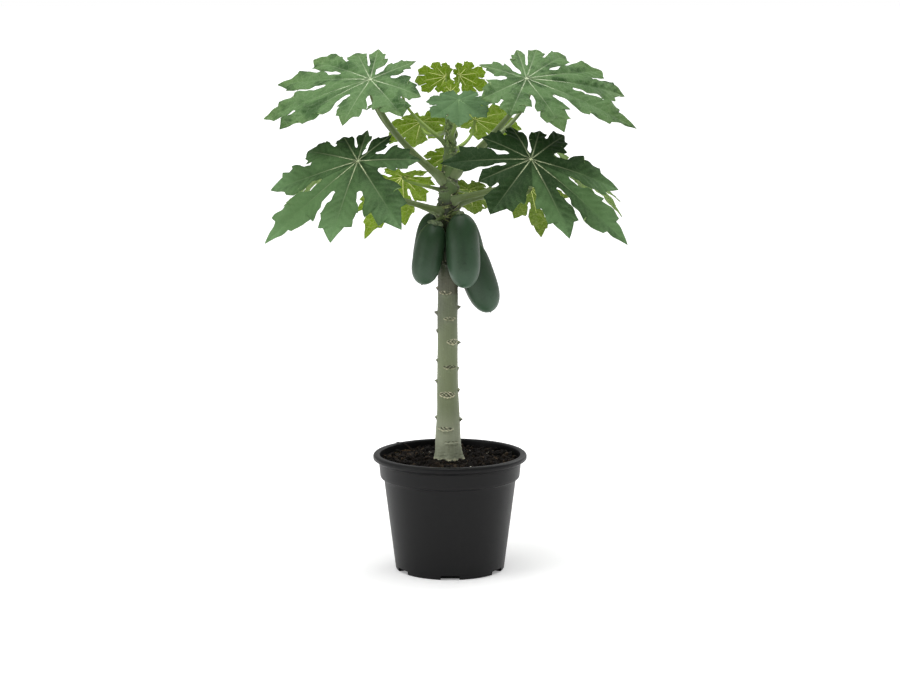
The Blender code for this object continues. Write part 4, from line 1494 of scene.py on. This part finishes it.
LEAVES = (
    Leaf("upper_front_left", 1.005, (-0.199, -0.1, 1.278), 35, 245, 206, 0.29, 14, LeafKind.BROAD_PALE, (
        (-121, 0.48), (-98, 0.52), (-69, 0.77), (-46, 0.96), (-17, 1.0), (-2, 0.9), (40, 0.58),
        (92, 0.63), (118, 0.56), (176, 0.43)), Margin.FULL, 0.1, shallow=(-98, -17, 92)),
    Leaf("upper_front_right", 1.017, (0.191, -0.1, 1.28), 35, 295, 334, 0.305, 4, LeafKind.BROAD_PALE, (
        (-168, 0.41), (-110, 0.55), (-81, 0.53), (-35, 0.64), (11, 1.0), (38, 0.93), (56, 0.8),
        (80, 0.66), (102, 0.5), (123, 0.44)), Margin.FULL, 0.1, shallow=(-110, 38, 80)),
    Leaf("lower_front_left", 0.934, (-0.228, -0.2, 1.082), 45, 245, 226, 0.31, 12, LeafKind.BROAD_DEEP, (
        (-147, 0.35), (-113, 0.36), (-76, 0.52), (-40, 0.76), (-9, 1.0), (27, 0.79), (69, 0.85),
        (124, 0.53), (174, 0.36)), Margin.FULL, 0.5, stalk_share=0.8, shallow=(-113, -76)),
    Leaf("lower_front_right", 0.962, (0.2, -0.22, 1.088), 45, 295, 314, 0.32, 6, LeafKind.BROAD_DEEP, (
        (-200, 0.36), (-155, 0.42), (-120, 0.74), (-97, 0.53), (-72, 0.69), (-18, 0.74), (11, 1.0),
        (43, 0.76), (97, 0.48), (122, 0.36)), Margin.FULL, 0.9, stalk_share=0.8, shallow=(-200, -97, 97)),
    Leaf("centre_front", 1.119, (0.022, -0.13, 1.229), 30, 270, 270, 0.112, 8, LeafKind.GREYISH,
         margin=Margin.YOUNG),
    Leaf("top_left", 1.172, (-0.011, 0.042, 1.278), 65, 95, 180, 0.081, 5, LeafKind.FRESH, (
        (-100, 0.4), (-66, 0.62), (-33, 0.92), (-8, 1.0), (18, 0.94), (50, 0.66), (92, 0.52)),
         Margin.YOUNG, stalk_share=0.6),
    Leaf("top_middle", 1.196, (0.002, 0.004, 1.243), 68, 90, 270, 0.034, 2, LeafKind.FRESH,
         margin=Margin.YOUNG),
    Leaf("top_right", 1.184, (0.024, 0.056, 1.281), 65, 85, 0, 0.083, 5, LeafKind.FRESH, (
        (-138, 0.28), (-97, 0.45), (-50, 0.62), (-10, 0.84), (27, 1.0), (60, 0.84), (108, 0.36)),
         Margin.YOUNG, stalk_share=0.6),
    Leaf("upper_left", 1.099, (-0.121, 0.015, 1.234), 20, 170, 170, 0.105, 6, LeafKind.GREYISH,
         margin=Margin.YOUNG),
    Leaf("middle_back_left", 1.142, (-0.077, 0.18, 1.153), 38, 110, 105, 0.122, 12, LeafKind.FRESH,
         margin=Margin.YOUNG, painted_shade=0.4),
    Leaf("middle_back_right", 1.087, (0.066, 0.2, 1.157), 38, 70, 0, 0.127, 12, LeafKind.FRESH,
         margin=Margin.YOUNG, painted_shade=0.25),
    Leaf("upper_back_left", 1.012, (-0.21, 0.16, 1.25), 15, 145, 145, 0.185, 13, LeafKind.MIDDLE),
    Leaf("upper_back_right", 1.024, (0.21, 0.12, 1.25), 15, 30, 30, 0.185, 6, LeafKind.MIDDLE),
    Leaf("back", 1.112, (0.005, 0.32, 1.155), 12, 90, 90, 0.17, 8, LeafKind.MIDDLE),
    Leaf("inner_back", 1.03, (-0.004, 0.16, 1.067), 40, 95, 98, 0.09, 8, LeafKind.FRESH,
         margin=Margin.YOUNG, painted_shade=0.2),
    Leaf("lower_back_left", 0.985, (-0.123, 0.1, 1.016), 45, 110, 119, 0.245, 0, LeafKind.FRESH, (
        (-120, 0.28), (-84, 0.42), (-54, 0.56), (-27, 0.78), (0, 1.0), (26, 0.66), (64, 0.4),
        (108, 0.28)), painted_shade=0.3, stalk_pull=0.1, stalk_share=0.6),
    Leaf("inner_back_right", 0.995, (0.05, 0.12, 0.981), 42, 70, 75, 0.11, 0, LeafKind.OLIVE,
         margin=Margin.YOUNG, painted_shade=0.35, stalk_pull=0.1, stalk_share=0.75),
    Leaf("lower_back_right", 0.965, (0.212, 0.16, 0.98), 42, 60, 67, 0.212, 0, LeafKind.OLIVE, (
        (-120, 0.45), (-84, 0.52), (-52, 0.58), (-20, 0.7), (3, 1.0), (28, 0.8), (66, 0.5),
        (112, 0.42)), painted_shade=0.55, stalk_pull=0.12, stalk_share=0.75),
    Leaf("lower_left", 0.914, (-0.29, 0.06, 1.05), 38, 165, 165, 0.21, -5, LeafKind.MIDDLE,
         stalk_share=0.75),
    Leaf("lower_right", 0.938, (0.3, 0.06, 1.055), 38, 20, 15, 0.21, -8, LeafKind.MIDDLE,
         stalk_share=0.75),
)


@dataclass
class HalfLobe:
    """One side of a lobe, from its rib to the line halfway to its neighbour and then to its margin.

    A point of it is given by q, which is 0 at the hub, 1 at the notch and 2 at the tip, and by v, which is
    0 on the rib and 1 on the edge.
    """

    bearing: float
    side: int  # 1 to the left of the rib, -1 to the right
    length: float
    rib_notch: float  # how far along the rib the notch's row starts
    notch: Pair  # the notch, along and aside
    half_width: float
    most_width: float  # the widest lobe's half width on this leaf
    between: float  # half the angle to the neighbour
    teeth: Array
    clear: float  # half the clear strip beside the neighbouring lobe
    wave_phase: float
    lift: float  # how far the tip curls up, or down if negative
    scale: float  # the leaf's reach beside a large leaf's
    fold: float
    neck: float
    # painted shade on one side of a lobe, as the two sides of its fold would catch the light differently;
    # negative paints it lighter
    painted_side_shade: float  # how much darker this side is, or lighter if negative
    neck_at: tuple[float, ...] = (0.0, 0.035, 0.2)
    wave_deep: float = 0.0042
    wave_lengths: Pair = (0.071, 0.039)
    quilt_deep: float = 0.002
    vein_step: float = 0.021

    def edge(self, q: Array) -> tuple[Array, Array]:
        """Along and aside of the edge at each q."""
        part = held(q - 1.0)
        knots = np.concatenate((self.neck_at, self.teeth[:, 0], [1.0]))
        neck = self.notch[1] * np.array((1.0, self.neck, max(self.neck, 0.98)))
        neck = np.minimum(neck, 0.92 * self.half_width)
        widths = np.concatenate(([self.notch[1]], neck[1:], self.teeth[:, 1] * self.half_width, [0.0]))
        leans = np.concatenate((0.0 * neck, self.teeth[:, 2], [0.0]))
        low = np.clip(np.searchsorted(knots, part, side="right") - 1, 0, len(knots) - 2)
        step = held((part - knots[low]) / (knots[low + 1] - knots[low]))
        rising = widths[low + 1] > widths[low]
        bow = np.where(rising, np.sin(0.5 * pi * step) ** 0.9, step ** 0.85)
        bow = np.where(low == len(knots) - 2, 1.0 - (1.0 - step) ** 0.88, bow)
        aside = widths[low] + bow * (widths[low + 1] - widths[low])
        lean = leans[low] + step ** 1.5 * (leans[low + 1] - leans[low])
        along = self.notch[0] + (part + lean) * (self.length - self.notch[0])
        along = np.minimum(along, self.length)
        limit = along * tan(min(self.between, WIDEST_BISECTOR)) - self.clear
        aside = np.minimum(aside, np.where(part > 0.0, limit, aside))
        inside = np.minimum(q, 1.0)
        return (np.where(q <= 1.0, self.notch[0] * inside, along),
                np.where(q <= 1.0, self.notch[1] * inside, aside))

    def flat(self, q: Array, v: Array) -> tuple[Array, Array]:
        """Along and aside of points, aside being positive to either side."""
        rib = np.where(q <= 1.0, self.rib_notch * q,
                       self.rib_notch + (self.length - self.rib_notch) * (q - 1.0))
        edge_along, edge_aside = self.edge(q)
        return rib + v * (edge_along - rib), v * edge_aside

    def vein_gap(self) -> float:
        """Length of rib between one side vein and the next."""
        return self.vein_step * (0.45 + 0.55 * self.scale)

    def vein_phase(self, q: Array, v: Array) -> Array:
        """Which side vein, counted from the hub, the points lie on or between."""
        along, aside = self.flat(q, v)
        return (along - 0.95 * aside) / self.vein_gap()

    def height(self, q: Array, v: Array) -> tuple[Array, Array]:
        """Height of points above the plain blade, and how much they are raised between side veins."""
        along, aside = self.flat(q, v)
        out = held(q - 1.0)
        fold = self.fold * aside * (1.0 - 0.5 * aside / self.most_width)
        fold *= eased(along, 0.0, 0.08 * self.scale)
        quilt = np.sin(pi * self.vein_phase(q, v)) ** 2 * 4.0 * v * (1.0 - v)
        run = tau * along / (0.4 + 0.6 * self.scale)
        long, short = self.wave_lengths
        wave = 0.6 * np.sin(run / long + self.wave_phase) + 0.4 * np.sin(run / short + 2.3 * self.wave_phase)
        wave *= v ** 2.5 * eased(out, 0.0, 0.2) * (1.0 - eased(out, 0.75, 1.0))
        curl = self.lift * out ** 2 * self.length - 0.1 * out * aside
        lifted = fold + self.scale * (self.quilt_deep * quilt + self.wave_deep * wave) + curl
        return lifted, quilt


@dataclass
class LeafBlade:
    """The broad lobed blade of one leaf: a thin closed sheet with raised ribs and side veins."""

    leaf: Leaf
    palm_rows: int = 10  # rows of faces from the hub to the notches
    row: float = 0.005  # length of a row on a large leaf
    columns: int = 10  # columns of faces on each side of a rib
    thick: float = 0.0011
    rib_r: float = 0.0014
    large_reach: float = 0.3

    def __post_init__(self) -> None:
        """Work out the lobes' halves from the leaf."""
        self.scale = self.leaf.reach / self.large_reach
        self.draw = np.random.default_rng(sum(map(ord, self.leaf.name)))
        self.forward, self.across, self.normal = self.leaf.axes()
        self.lobes = [self.lobe(index) for index in range(len(self.leaf.lobes))]

    def notch(self, index: int, step: int) -> Place:
        """The notch beside a lobe: half the angle to the neighbour, and the notch's along and aside."""
        lobes = self.leaf.lobes
        bearing, share = lobes[index]
        beside = index + step
        other_bearing, other_share = lobes[beside % len(lobes)]
        between = radians(((other_bearing - bearing) * step) % 360.0) / 2.0
        shallow = (bearing if step == 1 else other_bearing) in self.leaf.shallow
        depth = SHALLOW_NOTCH if shallow else self.leaf.form().sinus
        depth *= min(share, other_share) * self.leaf.reach
        if beside not in range(len(lobes)):
            depth = min(STALK_SINUS, STALK_SINUS_SHARE * depth)
        return between, depth * cos(between), depth * sin(between)

    def lobe(self, index: int) -> dict[int, HalfLobe]:
        """The two halves of a lobe, by side."""
        bearing, share = self.leaf.lobes[index]
        length = share * self.leaf.reach
        form = self.leaf.form()
        most = form.most * self.leaf.reach
        notches = {side: self.notch(index, side) for side in (1, -1)}
        rib_notch = 0.5 * (notches[1][1] + notches[-1][1])
        lift = self.draw.uniform(-0.035, 0.03)
        halves = {}
        for side in (1, -1):
            teeth = np.array(self.leaf.margin.value)
            teeth[:, 0] += self.draw.uniform(-0.02, 0.02)
            teeth[:, 1] *= self.draw.uniform(0.88, 1.12, len(teeth))
            teeth[:, 2] *= self.draw.uniform(0.6, 1.3, len(teeth))
            halves[side] = HalfLobe(
                radians(bearing), side, length, rib_notch, notches[side][1:],
                min(form.width * length, most), most, notches[side][0], teeth,
                LOBE_CLEAR * self.leaf.reach, self.draw.uniform(0.0, tau), lift, self.scale,
                form.fold, form.neck, self.draw.uniform(-0.24, 0.24))
        return halves

    def place(self, half: HalfLobe, q: Array, v: Array, depth: Any = 0.0) -> Array:
        """Points of the blade in space.

        Args:
            half: The half lobe that they belong to.
            q: How far out they lie.
            v: How far aside they lie.
            depth: How far below the upper face they lie.

        Returns:
            The points.
        """
        along, aside = half.flat(q, v)
        height = half.height(q, v)[0] - depth
        aside = half.side * aside
        x = along * cos(half.bearing) - aside * sin(half.bearing)
        y = along * sin(half.bearing) + aside * cos(half.bearing)
        radius = np.maximum(np.hypot(x, y), 1e-9)
        outward = (x / radius)[..., None] * self.forward + (y / radius)[..., None] * self.across
        droop = BLADE_DROOP * radius
        run = (np.sin(droop) / BLADE_DROOP)[..., None]
        fall = ((1.0 - np.cos(droop)) / BLADE_DROOP)[..., None]
        upward = np.sin(droop)[..., None] * outward + np.cos(droop)[..., None] * self.normal
        return np.array(self.leaf.hub) + run * outward - fall * self.normal + height[..., None] * upward

    def rows(self, halves: dict[int, HalfLobe]) -> Array:
        """The q of each row of a lobe, with a row at every tooth."""
        count = max(8, int(halves[1].length * 0.62 / (self.row * (0.45 + 0.55 * self.scale))))
        out = np.linspace(0.0, 1.0, count + 1)[1:]
        knots = np.concatenate([half.teeth[:, 0] for half in halves.values()])
        out = np.array([v for v in out if v == 1.0 or np.abs(knots - v).min() > 0.3 / count])
        palm = np.linspace(0.0, 1.0, self.palm_rows + 1)
        return np.concatenate((palm, 1.0 + np.sort(np.unique(np.round(np.concatenate((out, knots)), 5)))))

    def build(self, materials: list[Material]) -> None:
        """Build the sheet and its veins.

        Args:
            materials: The upper face's, the under face's and the veins' material.
        """
        draft = Draft("blade_" + self.leaf.name)
        self.add_sheet(draft)
        for halves in self.lobes:
            self.add_rib(draft, halves)
            for half in halves.values():
                self.add_side_veins(draft, half)
        draft.make(materials, ("leaf_blade_" + self.leaf.name,), 80.0)

    def add_sheet(self, draft: Draft) -> None:
        """The sheet: an upper face, an under face and the rim between them."""
        points: list[Array] = []
        marks: list[dict[str, Array]] = []

        def lay(half: HalfLobe, q: Array, v: Array) -> Array:
            """Add points to the upper face, and give their numbers."""
            first = sum(map(len, points))
            points.append(self.place(half, q, v))
            marks.append(self.shading(half, q, v))
            return np.arange(first, first + len(q))

        lay(self.lobes[0][1], np.zeros(1), np.zeros(1))
        palm = np.arange(1, self.palm_rows + 1) / self.palm_rows
        gaps = [lay(halves[1], palm, np.ones(self.palm_rows)) for halves in self.lobes]
        faces: list[Face] = []
        for index, halves in enumerate(self.lobes):
            q = self.rows(halves)
            last = len(q) - 1
            rib = lay(halves[1], q[1:], np.zeros(last))
            for side in (1, -1):
                grid = np.zeros((last + 1, self.columns + 1), dtype=int)
                grid[1:, 0] = rib
                grid[last] = rib[-1]
                fresh = np.zeros_like(grid, dtype=bool)
                fresh[1:last, 1:] = True
                fresh[1:self.palm_rows + 1, self.columns] = False
                grid[1:self.palm_rows + 1, self.columns] = gaps[index if side == 1 else index - 1]
                at_row, at_column = np.nonzero(fresh)
                grid[fresh] = lay(halves[side], q[at_row], at_column / self.columns)
                faces += grid_faces(grid, side)
        upper = np.concatenate(points)
        shades = {name: np.concatenate([row[name] for row in marks]) for name in marks[0]}
        under = self.underside(upper, faces)
        edges = {edge for face in faces for edge in zip(face, face[1:] + face[:1])}
        rim = [(start, end) for start, end in sorted(edges) if (end, start) not in edges]
        draft.add(upper, faces, 0, shades)
        draft.add(under, [face[::-1] for face in faces], 1)
        total = len(upper)
        draft.faces.extend((end, start, total + start, total + end) for start, end in rim)
        draft.slots.extend([1] * len(rim))

    def underside(self, upper: Array, faces: list[Face]) -> Array:
        """Points of the under face, square below those of the upper one."""
        normals = np.zeros_like(upper)
        corners = np.array([face if len(face) == 4 else (*face, face[2]) for face in faces])
        across = upper[corners[:, 2]] - upper[corners[:, 0]]
        along = upper[corners[:, 3]] - upper[corners[:, 1]]
        square = np.cross(across, along)
        for corner in range(4):
            np.add.at(normals, corners[:, corner], square)
        return upper - self.thick * unit(normals)

    def shading(self, half: HalfLobe, q: Array, v: Array) -> dict[str, Array]:
        """The numbers that the upper face's colour follows, with its painted shade: the shadow of higher
        leaves behind the hub, shade near the hub and between side veins, a darker or lighter side to each
        lobe, and darker margins.
        """
        along, aside = half.flat(q, v)
        _, quilt = half.height(q, v)
        ahead = along * cos(half.bearing) - half.side * aside * sin(half.bearing)
        # painted shadow of the higher leaves, on the part behind the hub
        behind = self.leaf.painted_shade * (1.0 - eased(ahead / self.leaf.reach, -0.25, 0.75))
        # painted shade near the rib in the palm, between side veins, on one side of the lobe, a little all
        # over, and at the margins
        shadow = 0.2 * (1.0 - v) ** 3 * (1.0 - held(q - 1.0)) + 0.15 * quilt
        shadow = shadow + half.painted_side_shade * eased(v, 0.0, 0.2) + 0.12 + 0.15 * eased(v, 0.7, 1.0)
        near = 1.0 - held(along / self.leaf.reach)
        return {"outward": held(q - 1.0), "painted_shade": np.clip(behind + shadow, 0.0, 1.2),
                "rib": near * hump(aside, 0.0, 0.002 * self.scale + 0.0006)}

    def add_rib(self, draft: Draft, halves: dict[int, HalfLobe]) -> None:
        """The main rib of a lobe, raised a little above and more below."""
        q = np.concatenate((np.linspace(0.02, 1.0, 10), np.linspace(1.05, 1.9, 24)))
        path = self.place(halves[1], q, np.zeros(len(q)), 0.5 * self.thick)
        beside = self.place(halves[1], q, np.full(len(q), 0.05), 0.5 * self.thick)
        part = q / 2.0
        girth = (0.62 + 0.38 * self.scale) * self.rib_r * (0.1 + 0.9 * (1.0 - part) ** 0.9)
        girth *= 0.65 + 0.35 * sqrt(halves[1].length / self.leaf.reach)
        far = 0.85 * eased(halves[1].flat(q, np.zeros(len(q)))[0] / self.leaf.reach, 0.4, 1.1)
        self.add_vein(draft, path, beside - path, girth, 8, far)

    def add_side_veins(self, draft: Draft, half: HalfLobe) -> None:
        """The side veins of half a lobe, from the rib towards the margin."""
        step = half.vein_gap()
        count = int(0.93 * half.length / step)
        for number in range(1, count):
            start = number * step
            if start < 0.1 * half.length:
                continue
            v = np.linspace(0.0, 0.93, 8)
            q = self.follow(half, start, v)
            if q[-1] >= 1.985:
                continue
            depth = 0.35 * self.thick
            path = self.place(half, q, v, depth)
            beside = self.place(half, q + 0.01, v, depth)
            girth = 0.34 * self.rib_r * (0.5 + 0.5 * self.scale) * (1.0 - 0.72 * v)
            self.add_vein(draft, path, beside - path, girth, 5, 0.35 + 0.55 * v)

    def follow(self, half: HalfLobe, start: float, v: Array) -> Array:
        """The q at each v of the side vein that leaves the rib at start."""
        q = np.linspace(0.01, 1.99, 160)
        phase = start / half.vein_gap()
        found = []
        for part in v:
            phases = np.maximum.accumulate(half.vein_phase(q, np.full_like(q, part)))
            found.append(float(np.interp(phase, phases, q)))
        return np.array(found)

    def add_vein(self, draft: Draft, path: Array, across: Array, girth: Array, sides: int,
                 far: Array) -> None:
        """One vein: a thin tube that is flatter above than below.

        Args:
            draft: The piece that it belongs to.
            path: Its middle line.
            across: Its sideways direction at each point.
            girth: Its radius at each point.
            sides: How many points to a ring.
            far: How far it has faded into the face at each point.
        """
        section = round_section(girth, sides)
        upward = np.cross(unit(across), unit(np.gradient(path, axis=0)))
        if np.sum(upward @ self.normal) < 0.0:
            across = -across
        section[..., 1] *= np.where(section[..., 1] > 0.0, 0.62, 1.0)
        draft.tube(path, across, section, 2, {"far": np.repeat(far, sides)})


def grid_faces(grid: Array, side: int) -> list[Face]:
    """Faces of half a lobe, seen from above.

    Args:
        grid: The numbers of the points, by row from the hub and by column from the rib.
        side: 1 to the left of the rib, -1 to the right.

    Returns:
        The faces, with three points where a row or a column closes.
    """
    faces = []
    for row in range(len(grid) - 1):
        for column in range(grid.shape[1] - 1):
            (near, near_out), (far, far_out) = grid[row:row + 2, column:column + 2].tolist()
            face = tuple(dict.fromkeys((near, far, far_out, near_out)))
            faces.append(face if side == 1 else face[::-1])
    return faces


@dataclass
class LeafStalk:
    """The long stalk of one leaf, from its flared foot on the trunk to the blade's hub."""

    leaf: Leaf
    trunk: Trunk
    rings: int = 44
    sides: int = 24
    least_r: float = 0.004
    r_by_reach: float = 0.024
    end_share: float = 0.52
    flare: float = 1.6
    start_pull: float = 0.45
    end_by_blade: float = 0.35
    seat_depth: float = 0.0012
    foot_fade: float = 0.045  # the foot's own tone fades out over this length
    clasp: Pair = (0.52, 0.34)  # how much wider and deeper the foot grows at the bark
    heel_rings: int = 14
    heel_sides: int = 20
    heel_drop: float = 2.0  # how far the heel runs down, by the stalk's radius
    heel_shape: Pair = (1.3, 0.8)

    def girth(self) -> float:
        """Radius of the stalk above its foot."""
        return self.leaf.stalk_share * (self.least_r + self.r_by_reach * self.leaf.reach)

    def foot(self) -> Place:
        """Height and bearing where the stalk leaves the bark, and its radius."""
        path = self.path()
        aside = path[:, :2] - path[0, :2]
        out = np.linalg.norm(aside, axis=1)
        bearing = atan2(aside[-1, 1], aside[-1, 0])
        return float(np.interp(self.trunk.radius(self.leaf.foot_z), out, path[:, 2])), bearing, self.girth()

    def path(self) -> Array:
        """Centres of the rings from the trunk's axis to the blade."""
        normal = self.leaf.axes()[2]
        foot = self.trunk.centre(self.leaf.foot_z)
        seat = np.array(self.leaf.hub) - self.seat_depth * normal
        span = seat - foot
        outward = unit((span[0], span[1], 0.0))
        length = np.linalg.norm(span)
        rise = atan2(span[2], np.linalg.norm(span[:2])) - radians(self.leaf.sag)
        start_way = cos(rise) * outward + sin(rise) * UPWARD
        end_way = unit(self.end_by_blade * normal + (1.0 - self.end_by_blade) * UPWARD)
        return bezier(foot, foot + self.start_pull * length * start_way,
                      seat - self.leaf.stalk_pull * length * end_way, seat, self.rings)

    def build(self, materials: list[Material]) -> None:
        """Build the stalk."""
        path = self.path()
        spread = np.linspace(0.0, 1.0, self.rings)
        base = self.girth()
        girth = base * (self.end_share + (1.0 - self.end_share) * (1.0 - spread) ** self.flare)
        out = np.linalg.norm(path - path[0], axis=1) - self.trunk.radius(self.leaf.foot_z)
        out = np.maximum(out, 0.0)
        near = hump(out, 0.0, 1.9 * base)
        girth *= 1.0 + 0.3 * eased(spread, 0.95, 1.0)
        turn = ring_turn(self.sides)
        groove = 0.16 * hump(turn, 0.5 * pi, 0.34) * eased(1.0 - spread, 0.0, 0.15)[:, None]
        lines = 0.018 * np.cos(9.0 * turn)[None]
        section = round_section(girth, self.sides) * (1.0 - groove + lines)[..., None]
        section *= 1.0 + near[:, None, None] * np.array(self.clasp)
        draft = Draft("stalk_" + self.leaf.name)
        side = unit(np.cross(path[-1] - path[0], UPWARD) + (1e-6, 0.0, 0.0))
        # how far each point faces up, for the painted highlight on the upper side
        upper = np.broadcast_to(0.5 + 0.5 * np.sin(turn), (self.rings, self.sides))
        foot = np.repeat(hump(out, 0.0, self.foot_fade)[:, None], self.sides, axis=1)
        draft.tube(path, side, section, 0, {"upper": upper, "foot": foot})
        self.add_heel(draft, side)
        draft.make(materials, ("leaf_stalk_" + self.leaf.name,), 60.0)

    def add_heel(self, draft: Draft, side: Array) -> None:
        """The rounded heel that runs down the bark below the foot."""
        height, bearing, half = self.foot()
        outward = outward_at(bearing)
        radius = float(self.trunk.radius(height))
        start = self.trunk.centre(height + 0.3 * half) + (radius + 0.9 * half) * outward
        end = self.trunk.centre(height - self.heel_drop * half) + (radius - 0.45 * half) * outward
        spread = np.linspace(0.0, 1.0, self.heel_rings)
        swell = np.sin(pi * held(0.15 + 0.85 * spread)) ** 0.6
        girth = half * (0.55 + 0.6 * swell - 0.3 * spread)
        count = self.heel_rings * self.heel_sides
        # the painted highlight of the upper side, held even all round on the heel
        marks = {"upper": np.full(count, 0.45), "foot": np.ones(count)}
        line = start + spread[:, None] * (end - start)
        draft.tube(line, side, round_section(girth, self.heel_sides) * self.heel_shape, 0, marks)


# ---- the plant
@dataclass
class Papaya:
    """The whole potted plant."""

    # name, height where the stalk leaves the trunk, top, bottom, greatest radius
    fruit_rows: tuple[tuple[str, float, Place, Place, float], ...] = (
        ("front_left", 0.92, (-0.036, -0.047, 0.912), (-0.072, -0.054, 0.754), 0.0382),
        ("front_right", 0.928, (0.027, -0.057, 0.937), (0.039, -0.074, 0.747), 0.0432),
        ("right", 0.89, (0.036, 0.014, 0.864), (0.105, 0.016, 0.673), 0.044),
        ("back_left", 0.93, (-0.042, 0.046, 0.928), (-0.071, 0.062, 0.758), 0.0362),
        ("back_right", 0.93, (0.027, 0.062, 0.921), (0.071, 0.112, 0.757), 0.0365),
    )
    stalk_finish: StalkFinish = StalkFinish(
        "leaf_stalk", rgb(80, 96, 50), rgb(116, 130, 90), rgb(102, 116, 78))
    young_stalk: StalkFinish = StalkFinish(
        "young_stalk", rgb(98, 122, 48), rgb(134, 156, 82), rgb(86, 104, 56))
    fruit_finish: FruitFinish = FruitFinish()
    collar_finish: PlainSkinFinish = PlainSkinFinish(
        "collar", rgb(66, 80, 56), rgb(110, 122, 90))
    pole_finish: PlainSkinFinish = PlainSkinFinish(
        "flower_stub", rgb(34, 30, 24), rgb(76, 66, 48))
    leaves: tuple[Leaf, ...] = LEAVES

    def build(self) -> None:
        """Build the pot and the plant from the ground up."""
        pot = Pot()
        pot.build()
        PottingMix(pot).build()
        bare = Trunk()
        trunk = Trunk(feet=tuple(LeafStalk(leaf, bare).foot() for leaf in self.leaves))
        trunk.build()
        self.build_fruits(trunk)
        self.build_leaves(trunk)

    def build_fruits(self, trunk: Trunk) -> None:
        """Build the five fruits."""
        finishes = (self.fruit_finish, self.stalk_finish, self.collar_finish, self.pole_finish)
        materials = [finish.material() for finish in finishes]
        for number, row in enumerate(self.fruit_rows):
            Fruit(*row, trunk, number + 1).build(materials)

    def build_leaves(self, trunk: Trunk) -> None:
        """Build every leaf's stalk and blade."""
        stalk_skin = [self.stalk_finish.material()]
        young_skin = [self.young_stalk.material()]
        skins = {kind: [kind.value.upper(), kind.value.lower(), kind.value.ribs()] for kind in LeafKind}
        for leaf in self.leaves:
            young = leaf.kind is LeafKind.FRESH or leaf.margin is Margin.YOUNG
            LeafStalk(leaf, trunk).build(young_skin if young else stalk_skin)
            LeafBlade(leaf).build(skins[leaf.kind])


def main() -> None:
    """Build the studio and the plant."""
    logging.basicConfig(level=logging.INFO, format="%(message)s")
    Studio().build()
    Papaya().build()


if __name__ == "__main__":
    main()
